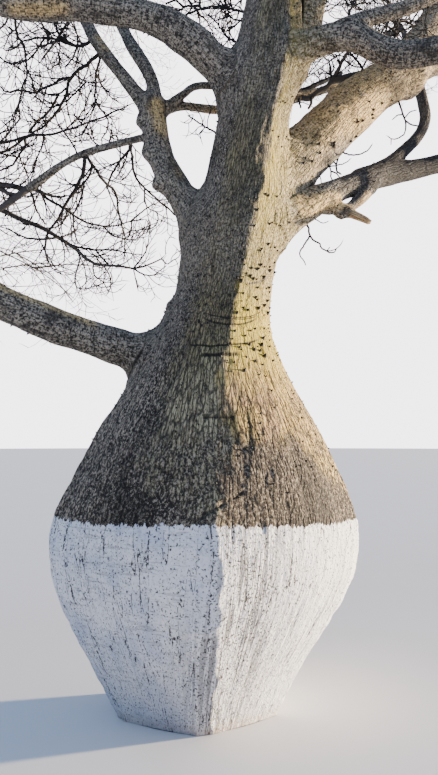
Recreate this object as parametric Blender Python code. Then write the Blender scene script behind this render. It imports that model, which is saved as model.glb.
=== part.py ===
"""Silk floss tree, bare of leaves: bottle trunk, boughs and masses of twigs, in metres.

The tree stands on z = 0 with the middle of its foot at the origin.
+Z is up, +X is the side that the trunk leans to, and +Y is the back.
"""
import math
import random

import bmesh
import bpy
import numpy as np
from mathutils import Matrix, Vector

GAP = 0.0003                # clearance between solids that touch

# Trunk: stations of height, lean towards +X and radius, from the flat foot to the fork
TRUNK_STATIONS = (
    (0.00, 0.000, 0.460), (0.20, 0.002, 0.553), (0.54, 0.018, 0.732), (0.78, 0.030, 0.833),
    (0.96, 0.037, 0.858), (1.14, 0.044, 0.843), (1.36, 0.056, 0.770), (1.60, 0.060, 0.668),
    (1.82, 0.068, 0.546), (2.06, 0.078, 0.423), (2.26, 0.103, 0.342), (2.48, 0.155, 0.294),
    (2.78, 0.204, 0.298), (2.92, 0.225, 0.290), (3.10, 0.266, 0.250), (3.40, 0.308, 0.226),
    (3.80, 0.395, 0.226), (4.20, 0.453, 0.182), (4.60, 0.490, 0.160), (5.20, 0.505, 0.150),
)
TRUNK_SIDES = 25
TRUNK_RINGS = 29
RIDGE_COUNT = 5             # upright ribs of the foot, one of them facing the front
RIDGE_DEPTH = 0.62          # share of a true five-sided section at the ground
RIDGE_TOP = 1.15            # height where the ribs have faded into the round belly
RIB_STAND = 0.05            # how far a rib stands proud, as a share of the radius
FOOT_DEPTH = 0.80           # depth of the foot from front to back, as a share of its width
PAINT_TOP = 1.12            # upper edge of the limewash

# Boughs: each thickens by this share where it leaves what carries it
FLARE_SHARE = 0.35
FLARE_LENGTH = 0.16
FORK_DISTANCE = 0.25        # a bough that starts this near its carrier's tip is one of a fork
RING_SPACINGS = (0.48, 0.36)    # between rings, on a thick bough and on a thinner one
CURVE_STEPS = 24            # fine steps of the curve between two points of a route
THICK_BOUGH = 0.105         # start radius from which a bough has ten sides
THIN_BOUGH = 0.045          # start radius below which a bough has six sides

# Each bough: what carries it, its route, its radius at the start and at the tip
BOUGHS = {
    "low_left_bough": (
        "trunk", ((-0.02, 0.03, 2.08), (-0.43, -0.08, 2.12), (-1.09, -0.38, 2.34),
                  (-2.20, -0.80, 2.90), (-3.40, -1.10, 3.70)), 0.112, 0.055),
    "big_right_bough": (
        "trunk", ((0.22, 0.04, 2.72), (0.57, 0.18, 3.29), (1.14, 0.48, 3.95),
                  (1.48, 0.66, 4.24)), 0.178, 0.160),
    "upper_left_bough": (
        "trunk", ((0.40, 0.02, 3.60), (0.15, -0.06, 3.85), (-0.20, -0.15, 4.10),
                  (-0.72, -0.14, 4.22), (-1.25, -0.12, 4.26), (-2.30, -0.25, 4.75),
                  (-3.30, -0.50, 5.50)), 0.112, 0.055),
    "upper_right_bough": (
        "trunk", ((0.42, 0.02, 3.88), (0.62, -0.12, 3.97), (0.91, -0.22, 4.00),
                  (1.25, -0.31, 3.84), (1.80, -0.55, 4.00), (2.80, -1.20, 4.90)), 0.092, 0.050),
    "rising_right_bough": (
        "trunk", ((0.50, 0.06, 3.78), (0.69, 0.10, 4.13), (0.76, 0.13, 4.45),
                  (0.95, 0.30, 5.20), (1.30, 0.50, 6.20)), 0.090, 0.050),
    "mid_left_bough": (
        "trunk", ((0.15, 0.02, 2.66), (-0.09, 0.10, 3.09), (-0.25, 0.17, 3.43),
                  (-0.29, 0.21, 3.76)), 0.106, 0.068),
    "low_right_bough": (
        "trunk", ((0.30, 0.02, 2.72), (0.64, 0.06, 3.00), (1.04, 0.26, 3.27),
                  (1.72, 0.60, 3.55), (3.00, 0.90, 4.00)), 0.090, 0.045),
    "back_left_bough": (
        "trunk", ((0.49, 0.04, 4.72), (0.28, 0.42, 5.25), (-0.18, 1.15, 5.70),
                  (-0.78, 2.10, 6.05)), 0.085, 0.050),
    "back_bough": (
        "trunk", ((0.48, 0.04, 4.40), (0.55, 0.60, 4.90), (0.70, 1.50, 5.50),
                  (0.80, 2.40, 6.10)), 0.080, 0.048),
    "front_bough": (
        "trunk", ((0.49, -0.03, 4.55), (0.60, -0.60, 5.00), (0.70, -1.30, 5.60),
                  (0.80, -2.00, 6.30)), 0.082, 0.050),
    "front_leader": (
        "trunk", ((0.50, -0.01, 5.08), (0.45, -0.20, 5.70), (0.20, -0.50, 6.50),
                  (0.05, -0.70, 7.20)), 0.105, 0.060),
    "back_leader": (
        "trunk", ((0.51, 0.01, 5.08), (0.60, 0.15, 5.70), (0.60, 0.50, 6.60),
                  (0.50, 0.80, 7.40)), 0.100, 0.055),
    "front_left_bough": (
        "upper_left_bough", ((-1.25, -0.12, 4.26), (-1.60, -0.80, 4.80), (-2.00, -1.60, 5.40),
                             (-2.30, -2.30, 6.00)), 0.060, 0.040),
    "mid_left_outer_bough": (
        "mid_left_bough", ((-0.28, 0.20, 3.64), (-0.42, 0.26, 3.88), (-0.69, 0.38, 4.28),
                           (-0.87, 0.50, 4.66), (-1.40, 0.75, 5.60)), 0.052, 0.032),
    "mid_left_inner_bough": (
        "mid_left_bough", ((-0.28, 0.20, 3.66), (-0.31, 0.28, 3.97), (-0.50, 0.46, 4.38),
                           (-0.75, 0.85, 5.10), (-0.95, 1.15, 5.90)), 0.048, 0.032),
    "crossing_bough": (
        "mid_left_bough", ((-0.28, 0.20, 3.66), (-0.12, 0.30, 3.80), (0.21, 0.50, 3.88),
                           (0.79, 0.85, 4.16), (1.20, 1.10, 4.42)), 0.036, 0.024),
    "crossing_upper_branch": (
        "mid_left_bough", ((-0.27, 0.19, 3.70), (-0.11, 0.27, 3.86), (0.03, 0.42, 4.01),
                           (0.47, 0.68, 4.10), (0.79, 0.92, 4.24), (1.18, 1.28, 4.58)),
        0.027, 0.015),
    "drooping_bough": (
        "mid_left_bough", ((-0.26, 0.17, 3.54), (-0.46, 0.24, 3.53), (-0.84, 0.42, 3.49),
                           (-1.18, 0.56, 3.32)), 0.027, 0.019),
    "upper_right_branch": (
        "upper_right_bough", ((0.85, -0.21, 3.99), (0.99, -0.22, 4.10), (1.36, -0.18, 4.25),
                              (1.65, -0.18, 4.50), (2.10, -0.20, 5.30)), 0.048, 0.034),
    "big_right_outer_bough": (
        "big_right_bough", ((1.40, 0.61, 4.17), (1.85, 0.90, 4.49), (2.60, 1.20, 4.75),
                            (3.50, 1.60, 5.10)), 0.132, 0.062),
    "big_right_rising_bough": (
        "big_right_bough", ((1.38, 0.61, 4.16), (1.75, 0.90, 4.71), (1.94, 1.05, 5.07),
                            (2.40, 1.70, 6.00)), 0.122, 0.060),
    "low_right_branch": (
        "low_right_bough", ((1.04, 0.26, 3.27), (1.41, 0.52, 3.57), (1.71, 0.85, 3.95),
                            (1.80, 1.20, 4.40), (1.90, 1.80, 5.10)), 0.048, 0.034),
    "broken_stub": (
        "low_right_bough", ((0.80, 0.15, 3.10), (0.94, 0.12, 3.04), (1.07, 0.09, 2.97)),
        0.050, 0.030),
}

# Each mass of twigs: the bough that it grows on from, the middle of its space and its reach
TWIG_MASSES = {
    "low_left_twigs": ("low_left_bough", (-4.30, -1.40, 4.60), 1.77),
    "upper_left_twigs": ("upper_left_bough", (-4.00, -0.40, 6.90), 1.77),
    "front_left_twigs": ("front_left_bough", (-2.60, -3.10, 7.10), 1.65),
    "mid_left_outer_twigs": ("mid_left_outer_bough", (-2.30, 1.20, 6.60), 1.65),
    "mid_left_inner_twigs": ("mid_left_inner_bough", (-1.20, 1.30, 7.50), 1.59),
    "crossing_twigs": ("crossing_bough", (1.50, 2.20, 4.20), 1.24),
    "drooping_twigs": ("drooping_bough", (-1.15, 1.15, 3.50), 1.40),
    "upper_right_twigs": ("upper_right_bough", (3.70, -1.80, 5.80), 1.77),
    "upper_right_branch_twigs": ("upper_right_branch", (2.60, -0.50, 6.90), 1.59),
    "rising_right_twigs": ("rising_right_bough", (1.70, 0.60, 7.80), 1.59),
    "big_right_rising_twigs": ("big_right_rising_bough", (2.90, 2.30, 7.30), 1.65),
    "big_right_outer_twigs": ("big_right_outer_bough", (4.50, 1.80, 6.00), 1.77),
    "low_right_twigs": ("low_right_bough", (4.20, 0.60, 4.10), 1.59),
    "low_right_branch_twigs": ("low_right_branch", (2.20, 3.10, 5.60), 1.59),
    "front_leader_twigs": ("front_leader", (-0.30, -1.00, 8.60), 1.65),
    "back_leader_twigs": ("back_leader", (0.40, 1.00, 8.90), 1.59),
    "back_left_twigs": ("back_left_bough", (-1.00, 3.30, 6.70), 1.65),
    "back_twigs": ("back_bough", (0.80, 3.70, 7.20), 1.65),
    "front_twigs": ("front_bough", (0.70, -3.00, 7.40), 1.65),
}
HANGING_MASSES = ("drooping_twigs", "crossing_twigs")

# Each mass's stem: its length as a share of the reach, how fast it turns to a point above the
# middle of the space, its wander, and its radius at both ends as a share of the bough's tip
STEM = {"reach": 0.95, "segments": 4, "sides": 5, "turn": 0.30, "aim_above": 0.30, "bend": 0.08,
        "start": 0.92, "tip": 0.41}
# Each level of branching: twigs on each parent, length as a share of the reach, the share of the
# parent from which they stand, and their radius as a share of the parent's
LEVELS = (
    {"count": 5, "reach": 0.85, "segments": 3, "sides": 3, "first": 0.30, "radius": 0.66},
    {"count": 3, "reach": 0.60, "segments": 2, "sides": 3, "first": 0.32, "radius": 0.62},
)
SPREAD_ANGLES = (0.50, 1.05)    # how far a twig turns away from its parent, in radians
LENGTH_RANGE = (0.85, 1.10)
BEND = 0.16                 # how much a twig wanders at each segment
LIFT = 0.10                 # how much a twig turns up at each segment
DROOP = -0.22               # the same for a mass that hangs
TWIG_TAPER = 0.50           # share of its radius that a twig loses on its way
THINNEST_TWIG = 0.007
CANDIDATES = 7              # a twig takes the freest of this many directions
PLACE_JITTER = (0.3, 0.7)   # where a twig stands within its share of the parent
LIMB_CLEARANCE = 0.030      # room between a twig and every limb, beside the twig's radius
TWIG_CLEARANCE = 0.018      # room between twigs of one mass
ROOT_SKIPPED = 0.12         # stretch beside its parent where a twig may be near its neighbours
SAMPLE_STEP = 0.06          # between the points where room is measured
SPACE_MARGIN = 0.03         # gap between neighbouring spaces, as a share of their reach
STEM_SEED = 100
TWIG_SEED = 200

TRUNK_BARK = (0.24, 0.205, 0.15)
LIMEWASH = (0.80, 0.80, 0.82)
BOUGH_BARK = (0.27, 0.245, 0.215)
TWIG_BARK = (0.15, 0.125, 0.105)
BARK_SHARP_ANGLE = math.radians(50)


def clear_scene():
    for old in list(bpy.data.objects):
        bpy.data.objects.remove(old, do_unlink=True)


def bark_material(name, colour, roughness):
    material = bpy.data.materials.new(name)
    material.use_nodes = True
    shader = material.node_tree.nodes["Principled BSDF"]
    shader.inputs["Base Color"].default_value = (*colour, 1.0)
    shader.inputs["Roughness"].default_value = roughness
    shader.inputs["Metallic"].default_value = 0.0
    return material


def new_object(name, vertices, faces, material, smooth=True):
    mesh = bpy.data.meshes.new(name)
    mesh.from_pydata(vertices, [], faces)
    flat = bmesh.new()
    flat.from_mesh(mesh)
    bmesh.ops.triangulate(flat, faces=flat.faces)
    flat.to_mesh(mesh)
    flat.free()
    mesh.materials.append(material)
    if smooth:
        mesh.shade_smooth()
        mesh.set_sharp_from_angle(angle=BARK_SHARP_ANGLE)
    piece = bpy.data.objects.new(name, mesh)
    bpy.context.scene.collection.objects.link(piece)
    return piece


def skin_faces(ring_count, sides, pointed):
    """Faces of a tube whose rings follow each other, with a flat start and a flat or pointed end."""
    faces = [tuple(reversed(range(sides)))]
    for ring in range(ring_count - 1):
        for side in range(sides):
            low = ring * sides + side
            high = ring * sides + (side + 1) % sides
            faces.append((low, high, high + sides, low + sides))
    last = (ring_count - 1) * sides
    if pointed:
        tip = ring_count * sides
        for side in range(sides):
            faces.append((last + side, last + (side + 1) % sides, tip))
    else:
        faces.append(tuple(last + side for side in range(sides)))
    return faces


def smooth_between(stations, height, column):
    """Value of one column of the stations at a height, on a smooth curve through them."""
    heights = [row[0] for row in stations]
    values = [row[column] for row in stations]
    slopes = []
    for index in range(len(stations)):
        before = max(index - 1, 0)
        after = min(index + 1, len(stations) - 1)
        slopes.append((values[after] - values[before]) / (heights[after] - heights[before]))
    index = 0
    while index < len(stations) - 2 and height > heights[index + 1]:
        index += 1
    span = heights[index + 1] - heights[index]
    t = (height - heights[index]) / span
    start_share = 2 * t ** 3 - 3 * t ** 2 + 1
    start_slope = (t ** 3 - 2 * t ** 2 + t) * span
    end_slope = (t ** 3 - t ** 2) * span
    return (start_share * values[index] + (1 - start_share) * values[index + 1]
            + start_slope * slopes[index] + end_slope * slopes[index + 1])


def rib_factor(angle, height):
    """Share of the radius left at an angle from the front rib, on the ribbed foot."""
    half_side = math.pi / RIDGE_COUNT
    from_rib = abs((angle + half_side) % (2 * half_side) - half_side)
    flat_sided = math.cos(half_side) / math.cos(half_side - from_rib)
    share = RIDGE_DEPTH * max(0.0, 1.0 - height / RIDGE_TOP)
    return 1.0 + share * (flat_sided - 1.0 + RIB_STAND)


def make_trunk(bark, limewash):
    top = TRUNK_STATIONS[-1][0]
    vertices = []
    for ring in range(TRUNK_RINGS):
        height = top * ring / (TRUNK_RINGS - 1)
        lean = smooth_between(TRUNK_STATIONS, height, 1)
        radius = smooth_between(TRUNK_STATIONS, height, 2)
        for side in range(TRUNK_SIDES):
            angle = 2 * math.pi * side / TRUNK_SIDES
            reach = radius * rib_factor(angle, height)
            front_first = angle - math.pi / 2
            depth = 1 - (1 - FOOT_DEPTH) * max(0.0, 1 - height / RIDGE_TOP)
            vertices.append((lean + reach * math.cos(front_first),
                             reach * depth * math.sin(front_first), height))
    trunk = new_object("trunk", vertices, skin_faces(TRUNK_RINGS, TRUNK_SIDES, False), bark)
    trunk.data.materials.append(limewash)
    for face in trunk.data.polygons:
        if face.center.z < PAINT_TOP:
            face.material_index = 1
    return trunk


def curve_through(route, spacing):
    """Evenly spaced points on a smooth curve through the route's points."""
    stops = [Vector(point) for point in route]
    padded = [2 * stops[0] - stops[1]] + stops + [2 * stops[-1] - stops[-2]]
    fine = []
    for index in range(1, len(padded) - 2):
        before, start, end, after = padded[index - 1:index + 3]
        for step in range(CURVE_STEPS):
            t = step / CURVE_STEPS
            fine.append(0.5 * (2 * start + (end - before) * t
                               + (2 * before - 5 * start + 4 * end - after) * t ** 2
                               + (3 * start - before - 3 * end + after) * t ** 3))
    fine.append(stops[-1])
    travelled = [0.0]
    for previous, point in zip(fine, fine[1:]):
        travelled.append(travelled[-1] + (point - previous).length)
    count = max(2, round(travelled[-1] / spacing))
    points = []
    index = 0
    for number in range(count):
        goal = travelled[-1] * number / count
        while travelled[index + 1] < goal:
            index += 1
        share = (goal - travelled[index]) / (travelled[index + 1] - travelled[index])
        points.append(fine[index].lerp(fine[index + 1], share))
    points.append(stops[-1])
    return points


def ring_frames(points):
    """Direction and two cross axes at each point, carried along without twist."""
    directions = [(points[1] - points[0]).normalized()]
    for index in range(1, len(points) - 1):
        directions.append((points[index + 1] - points[index - 1]).normalized())
    directions.append((points[-1] - points[-2]).normalized())
    across = directions[0].orthogonal().normalized()
    frames = []
    previous = directions[0]
    for direction in directions:
        across = previous.rotation_difference(direction) @ across
        across = (across - direction * across.dot(direction)).normalized()
        frames.append((across, direction.cross(across)))
        previous = direction
    return frames


def make_tube(name, points, radii, sides, material, pointed=False, smooth=True):
    """Tapering closed tube along the points, with its origin at the first of them."""
    origin = points[0]
    frames = ring_frames(points)
    ring_count = len(points) - 1 if pointed else len(points)
    vertices = []
    for index in range(ring_count):
        across, up = frames[index]
        for side in range(sides):
            angle = 2 * math.pi * side / sides
            offset = (across * math.cos(angle) + up * math.sin(angle)) * radii[index]
            vertices.append(points[index] - origin + offset)
    if pointed:
        vertices.append(points[-1] - origin)
    tube = new_object(name, vertices, skin_faces(ring_count, sides, pointed), material, smooth)
    tube.location = origin
    return tube


def bough_sides(radius):
    if radius >= THICK_BOUGH:
        return 10
    return 8 if radius >= THIN_BOUGH else 6


def bough_shape(route, start_radius, tip_radius, forks):
    """Points of a bough and its radius at each of them, with a flare unless it is of a fork."""
    points = curve_through(route, RING_SPACINGS[0] if start_radius >= THICK_BOUGH else RING_SPACINGS[1])
    length = sum((end - start).length for start, end in zip(points, points[1:]))
    radii = []
    travelled = 0.0
    for index, point in enumerate(points):
        if index:
            travelled += (point - points[index - 1]).length
        plain = start_radius + (tip_radius - start_radius) * travelled / length
        flare = 0 if forks else FLARE_SHARE * math.exp(-travelled / FLARE_LENGTH)
        radii.append(plain * (1 + flare))
    return points, radii


def grown_copy(piece):
    """Copy of a solid that stands proud of it by the gap on every side."""
    copy = piece.copy()
    copy.data = piece.data.copy()
    bpy.context.scene.collection.objects.link(copy)
    shell = bmesh.new()
    shell.from_mesh(copy.data)
    shell.normal_update()
    moves = [vertex.normal * GAP * vertex.calc_shell_factor() for vertex in shell.verts]
    for vertex, move in zip(shell.verts, moves):
        vertex.co += move
    shell.to_mesh(copy.data)
    shell.free()
    return copy


def keep_largest_body(mesh):
    """Drops the scraps that a cut leaves inside the solid that made it."""
    shell = bmesh.new()
    shell.from_mesh(mesh)
    unseen = set(shell.verts)
    bodies = []
    while unseen:
        body = set()
        border = [unseen.pop()]
        while border:
            vertex = border.pop()
            body.add(vertex)
            for edge in vertex.link_edges:
                other = edge.other_vert(vertex)
                if other in unseen:
                    unseen.remove(other)
                    border.append(other)
        bodies.append(body)
    bodies.sort(key=len)
    for scrap in bodies[:-1]:
        bmesh.ops.delete(shell, geom=list(scrap), context="VERTS")
    shell.to_mesh(mesh)
    shell.free()


def apply_boolean(piece, operation, cutter=None, collection=None):
    modifier = piece.modifiers.new("joint", "BOOLEAN")
    modifier.operation = operation
    modifier.solver = "EXACT"
    if collection:
        modifier.operand_type = "COLLECTION"
        modifier.collection = collection
    else:
        modifier.object = cutter
    bpy.context.view_layer.update()
    evaluated = piece.evaluated_get(bpy.context.evaluated_depsgraph_get())
    mesh = bpy.data.meshes.new_from_object(evaluated)
    piece.modifiers.remove(modifier)
    old = piece.data
    piece.data = mesh
    bpy.data.meshes.remove(old)
    mesh.name = piece.name


def boxes_meet(first, second):
    """Whether the world boxes of two objects overlap."""
    lows, highs = [], []
    for piece in (first, second):
        corners = np.array([piece.matrix_world @ vertex.co for vertex in piece.data.vertices])
        lows.append(corners.min(axis=0))
        highs.append(corners.max(axis=0))
    return bool(np.all(lows[0] < highs[1]) and np.all(lows[1] < highs[0]))


def hang_on(piece, carrier):
    """Parents a piece to its carrier and keeps it where it is."""
    place = piece.location.copy()
    piece.parent = carrier
    bpy.context.view_layer.update()
    piece.location = carrier.matrix_world.inverted() @ place
    bpy.context.view_layer.update()


def make_boughs(trunk, bark):
    """Builds every bough and cuts each clear of the solids that were built before it."""
    solids = {"trunk": trunk}
    tips = {"trunk": Vector((TRUNK_STATIONS[-1][1], 0, TRUNK_STATIONS[-1][0]))}
    cutters = [grown_copy(trunk)]
    shapes = {}
    for name, (carrier, route, start_radius, tip_radius) in BOUGHS.items():
        tips[name] = Vector(route[-1])
        forks = (tips[carrier] - Vector(route[0])).length < FORK_DISTANCE
        points, radii = bough_shape(route, start_radius, tip_radius, forks)
        bough = make_tube(name, points, radii, bough_sides(start_radius), bark)
        hang_on(bough, solids[carrier])
        own_cutter = grown_copy(bough)
        for cutter in cutters:
            if boxes_meet(bough, cutter):
                apply_boolean(bough, "DIFFERENCE", cutter=cutter)
        keep_largest_body(bough.data)
        cutters.append(own_cutter)
        solids[name] = bough
        shapes[name] = (points, radii)
    for cutter in cutters:
        bpy.data.objects.remove(cutter, do_unlink=True)
    return solids, shapes


class Obstacles:
    """Segments with a radius, and the room that a line of points has to them."""

    def __init__(self):
        self.starts = np.zeros((0, 3))
        self.ends = np.zeros((0, 3))
        self.radii = np.zeros(0)
        self.owners = []

    def add(self, points, radii, owner):
        line = np.array(points)
        self.starts = np.vstack((self.starts, line[:-1]))
        self.ends = np.vstack((self.ends, line[1:]))
        self.radii = np.concatenate((self.radii, np.maximum(radii[:-1], radii[1:])))
        self.owners += [owner] * (len(points) - 1)

    def room(self, samples, ignored=None):
        keep = np.array([owner != ignored for owner in self.owners])
        if not keep.any():
            return math.inf
        starts, ends, radii = self.starts[keep], self.ends[keep], self.radii[keep]
        along = ends - starts
        offset = samples[:, None, :] - starts[None]
        share = np.clip((offset * along).sum(axis=2) / (along ** 2).sum(axis=1), 0, 1)
        nearest = offset - share[..., None] * along
        return float((np.linalg.norm(nearest, axis=2) - radii).min())


def samples_along(points, skipped):
    """Points every few centimetres along a line, without its first stretch."""
    samples = []
    travelled = 0.0
    for start, end in zip(points, points[1:]):
        length = (end - start).length
        steps = max(1, math.ceil(length / SAMPLE_STEP))
        for step in range(1, steps + 1):
            if travelled + length * step / steps >= skipped:
                samples.append(start.lerp(end, step / steps))
        travelled += length
    return np.array(samples or [points[-1]])


def space_score(points, name):
    _, centre, reach = TWIG_MASSES[name]
    return np.linalg.norm(points - np.array(centre), axis=1) / reach


def inside_space(points, name):
    """Whether points lie in the mass's own space: its ball, less what is nearer to another's."""
    own = space_score(points, name)
    if own.max() > 1:
        return False
    return all((own + SPACE_MARGIN < space_score(points, other)).all()
               for other in TWIG_MASSES if other != name)


def wander(rng):
    return Vector((rng.uniform(-1, 1), rng.uniform(-1, 1), rng.uniform(-1, 1)))


def twig_line(rng, start, direction, length, segments, lift):
    """Line of a twig: each segment wanders a little and turns up or down."""
    points = [start]
    for _ in range(segments):
        points.append(points[-1] + direction * (length / segments))
        direction = (direction + wander(rng) * BEND + Vector((0, 0, lift))).normalized()
    return points


def stem_line(rng, name, start, direction):
    """Line of a mass's stem, which starts square on its bough and turns to the middle."""
    _, centre, reach = TWIG_MASSES[name]
    goal = Vector(centre) + Vector((0, 0, STEM["aim_above"] * reach))
    step = STEM["reach"] * reach / STEM["segments"]
    points = [start]
    for _ in range(STEM["segments"]):
        points.append(points[-1] + direction * step)
        to_middle = (goal - points[-1]).normalized()
        direction = (direction + to_middle * STEM["turn"] + wander(rng) * STEM["bend"]).normalized()
    return points


def point_on(points, radii, share):
    """Place, direction and radius at a share of a line's length."""
    whole = share * (len(points) - 1)
    index = min(int(whole), len(points) - 2)
    inner = whole - index
    place = points[index].lerp(points[index + 1], inner)
    direction = (points[index + 1] - points[index]).normalized()
    return place, direction, radii[index] + (radii[index + 1] - radii[index]) * inner


def best_twig(rng, name, parent, share, level, limbs, own, tips):
    """The freest of several directions in which a twig stays clear, or nothing."""
    place, along, radius = point_on(parent["points"], parent["radii"], share)
    lift = DROOP if name in HANGING_MASSES else LIFT
    side_axis = along.orthogonal().normalized()
    best, best_room = None, 0.0
    for _ in range(CANDIDATES):
        around = Matrix.Rotation(rng.uniform(0, 2 * math.pi), 3, along)
        away = Matrix.Rotation(rng.uniform(*SPREAD_ANGLES), 3, around @ side_axis)
        length = level["reach"] * TWIG_MASSES[name][2] * rng.uniform(*LENGTH_RANGE)
        points = twig_line(rng, place, away @ along, length, level["segments"], lift)
        samples = samples_along(points, radius * 2)
        if not inside_space(samples, name):
            continue
        if limbs.room(samples, name) < LIMB_CLEARANCE + radius:
            continue
        if own.room(samples_along(points, ROOT_SKIPPED), parent["id"]) < TWIG_CLEARANCE + radius / 2:
            continue
        freedom = min((points[-1] - tip).length for tip in tips)
        if freedom > best_room:
            best, best_room = points, freedom
    if best is None:
        return None
    start_radius = max(radius * level["radius"], THINNEST_TWIG)
    radii = [start_radius * (1 - TWIG_TAPER * index / level["segments"]) for index in range(len(best))]
    return {"points": best, "radii": radii, "id": f"{parent['id']}_{share:.2f}", "sides": level["sides"]}


def grow_mass(name, seed, stem, limbs):
    """All twigs of a mass, level by level, each root on the middle line of its parent."""
    rng = random.Random(seed)
    own = Obstacles()
    own.add(stem["points"], stem["radii"], stem["id"])
    tips = [stem["points"][-1]]
    twigs = []
    parents = [stem]
    for level in LEVELS:
        children = []
        for parent in parents:
            for number in range(level["count"]):
                place = (number + rng.uniform(*PLACE_JITTER)) / level["count"]
                share = level["first"] + (1 - level["first"]) * place
                twig = best_twig(rng, name, parent, share, level, limbs, own, tips)
                if twig:
                    own.add(twig["points"], twig["radii"], twig["id"])
                    tips.append(twig["points"][-1])
                    children.append(twig)
        twigs += children
        parents = children
    return twigs


def make_stems(shapes):
    """Line of each mass's stem, 0.3 mm past the flat tip of its bough."""
    stems = {}
    for number, (name, (bough, _, _)) in enumerate(TWIG_MASSES.items()):
        points, radii = shapes[bough]
        direction = (points[-1] - points[-2]).normalized()
        start = points[-1] + direction * GAP
        line = stem_line(random.Random(STEM_SEED + number), name, start, direction)
        loss = (STEM["start"] - STEM["tip"]) / STEM["segments"]
        stem_radii = [radii[-1] * (STEM["start"] - loss * index) for index in range(len(line))]
        stems[name] = {"points": line, "radii": stem_radii, "id": "stem"}
    return stems


def make_masses(solids, shapes, bark):
    limbs = Obstacles()
    for name, (points, radii) in shapes.items():
        limbs.add(points, radii, name)
    trunk_line = [Vector((row[1], 0, row[0])) for row in TRUNK_STATIONS]
    limbs.add(trunk_line, [row[2] for row in TRUNK_STATIONS], "trunk")
    stems = make_stems(shapes)
    for name, stem in stems.items():
        limbs.add(stem["points"], stem["radii"], name)
    for number, (name, (bough, _, _)) in enumerate(TWIG_MASSES.items()):
        twigs = grow_mass(name, TWIG_SEED + number, stems[name], limbs)
        group = bpy.data.collections.new(name + "_group")
        bpy.context.scene.collection.children.link(group)
        for index, twig in enumerate(twigs):
            part = make_tube(f"{name}_{index}", twig["points"], twig["radii"], twig["sides"], bark,
                             pointed=True, smooth=False)
            bpy.context.scene.collection.objects.unlink(part)
            group.objects.link(part)
        mass = make_tube(name, stems[name]["points"], stems[name]["radii"], STEM["sides"], bark,
                         pointed=True, smooth=False)
        hang_on(mass, solids[bough])
        apply_boolean(mass, "UNION", collection=group)
        for part in list(group.objects):
            bpy.data.objects.remove(part, do_unlink=True)
        bpy.data.collections.remove(group)
        keep_largest_body(mass.data)


def main():
    clear_scene()
    trunk_bark = bark_material("trunk_bark", TRUNK_BARK, 0.88)
    limewash = bark_material("limewash", LIMEWASH, 0.85)
    bough_bark = bark_material("bough_bark", BOUGH_BARK, 0.9)
    twig_bark = bark_material("twig_bark", TWIG_BARK, 0.85)
    tree = bpy.data.objects.new("tree", None)
    bpy.context.scene.collection.objects.link(tree)
    trunk = make_trunk(trunk_bark, limewash)
    trunk.parent = tree
    bpy.context.view_layer.update()
    solids, shapes = make_boughs(trunk, bough_bark)
    make_masses(solids, shapes, twig_bark)


main()
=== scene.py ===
# Silk floss tree, bare of leaves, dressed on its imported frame: bark, limewash, prickles and twigs
# Metres, +Z up, the middle of the foot at the origin and the front towards -Y
import math
import random

import bpy
import numpy as np
from mathutils import Euler, Matrix, Vector


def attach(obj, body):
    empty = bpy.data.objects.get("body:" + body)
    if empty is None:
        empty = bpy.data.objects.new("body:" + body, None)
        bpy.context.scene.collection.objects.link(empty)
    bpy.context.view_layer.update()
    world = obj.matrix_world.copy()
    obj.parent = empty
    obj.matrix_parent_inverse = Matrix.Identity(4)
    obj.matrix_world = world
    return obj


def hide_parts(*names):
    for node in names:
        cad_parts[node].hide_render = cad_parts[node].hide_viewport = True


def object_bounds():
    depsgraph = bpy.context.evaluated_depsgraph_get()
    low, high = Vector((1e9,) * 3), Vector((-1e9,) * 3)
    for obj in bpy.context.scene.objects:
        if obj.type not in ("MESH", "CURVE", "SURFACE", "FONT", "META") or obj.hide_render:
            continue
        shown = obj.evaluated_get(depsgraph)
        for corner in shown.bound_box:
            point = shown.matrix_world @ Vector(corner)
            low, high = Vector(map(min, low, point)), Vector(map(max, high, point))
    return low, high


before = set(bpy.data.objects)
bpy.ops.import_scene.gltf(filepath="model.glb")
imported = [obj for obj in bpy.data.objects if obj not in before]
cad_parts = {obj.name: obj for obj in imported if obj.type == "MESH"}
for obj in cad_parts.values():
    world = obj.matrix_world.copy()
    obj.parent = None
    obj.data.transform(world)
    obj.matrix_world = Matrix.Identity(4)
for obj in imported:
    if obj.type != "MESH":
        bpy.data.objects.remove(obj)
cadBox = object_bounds()
print("frame loaded with", len(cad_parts), "solids")

photoCamera = {
    "eye": (0.0, -4.25, 1.60),      # standing in front of the trunk, at eye height
    "lookUp": 3.963,                # degrees above the horizon
    "turn": -1.759,                 # degrees to the left
    "lens": 32.516,                 # mm, on the sensor's long side
    "sensor": 36.0,
    "frame": (438, 775),            # pixels
}

# Trunk: stations of height, lean towards +X and radius, and the ribs of its foot
trunkForm = {
    "stations": (
        (0.00, 0.000, 0.460), (0.20, 0.002, 0.553), (0.54, 0.018, 0.732), (0.78, 0.030, 0.833),
        (0.96, 0.037, 0.858), (1.14, 0.044, 0.843), (1.36, 0.056, 0.770), (1.60, 0.060, 0.668),
        (1.82, 0.068, 0.546), (2.06, 0.078, 0.423), (2.26, 0.103, 0.342), (2.48, 0.155, 0.294),
        (2.78, 0.204, 0.298), (2.92, 0.225, 0.290), (3.10, 0.266, 0.250), (3.40, 0.308, 0.226),
        (3.80, 0.395, 0.226), (4.20, 0.453, 0.182), (4.60, 0.490, 0.160), (5.20, 0.505, 0.150)),
    "ribs": 5, "ribShare": 0.62, "ribTop": 1.15, "ribStand": 0.05, "footDepth": 0.80,
    "paintTop": 1.12,
    "grainRadius": 0.55,            # radius at which the bark's pattern has its true width
    "grainNarrows": ((2.2, 3.0), (1.0, 0.58)),      # from the neck upwards it widens with the thinner trunk
}

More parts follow.
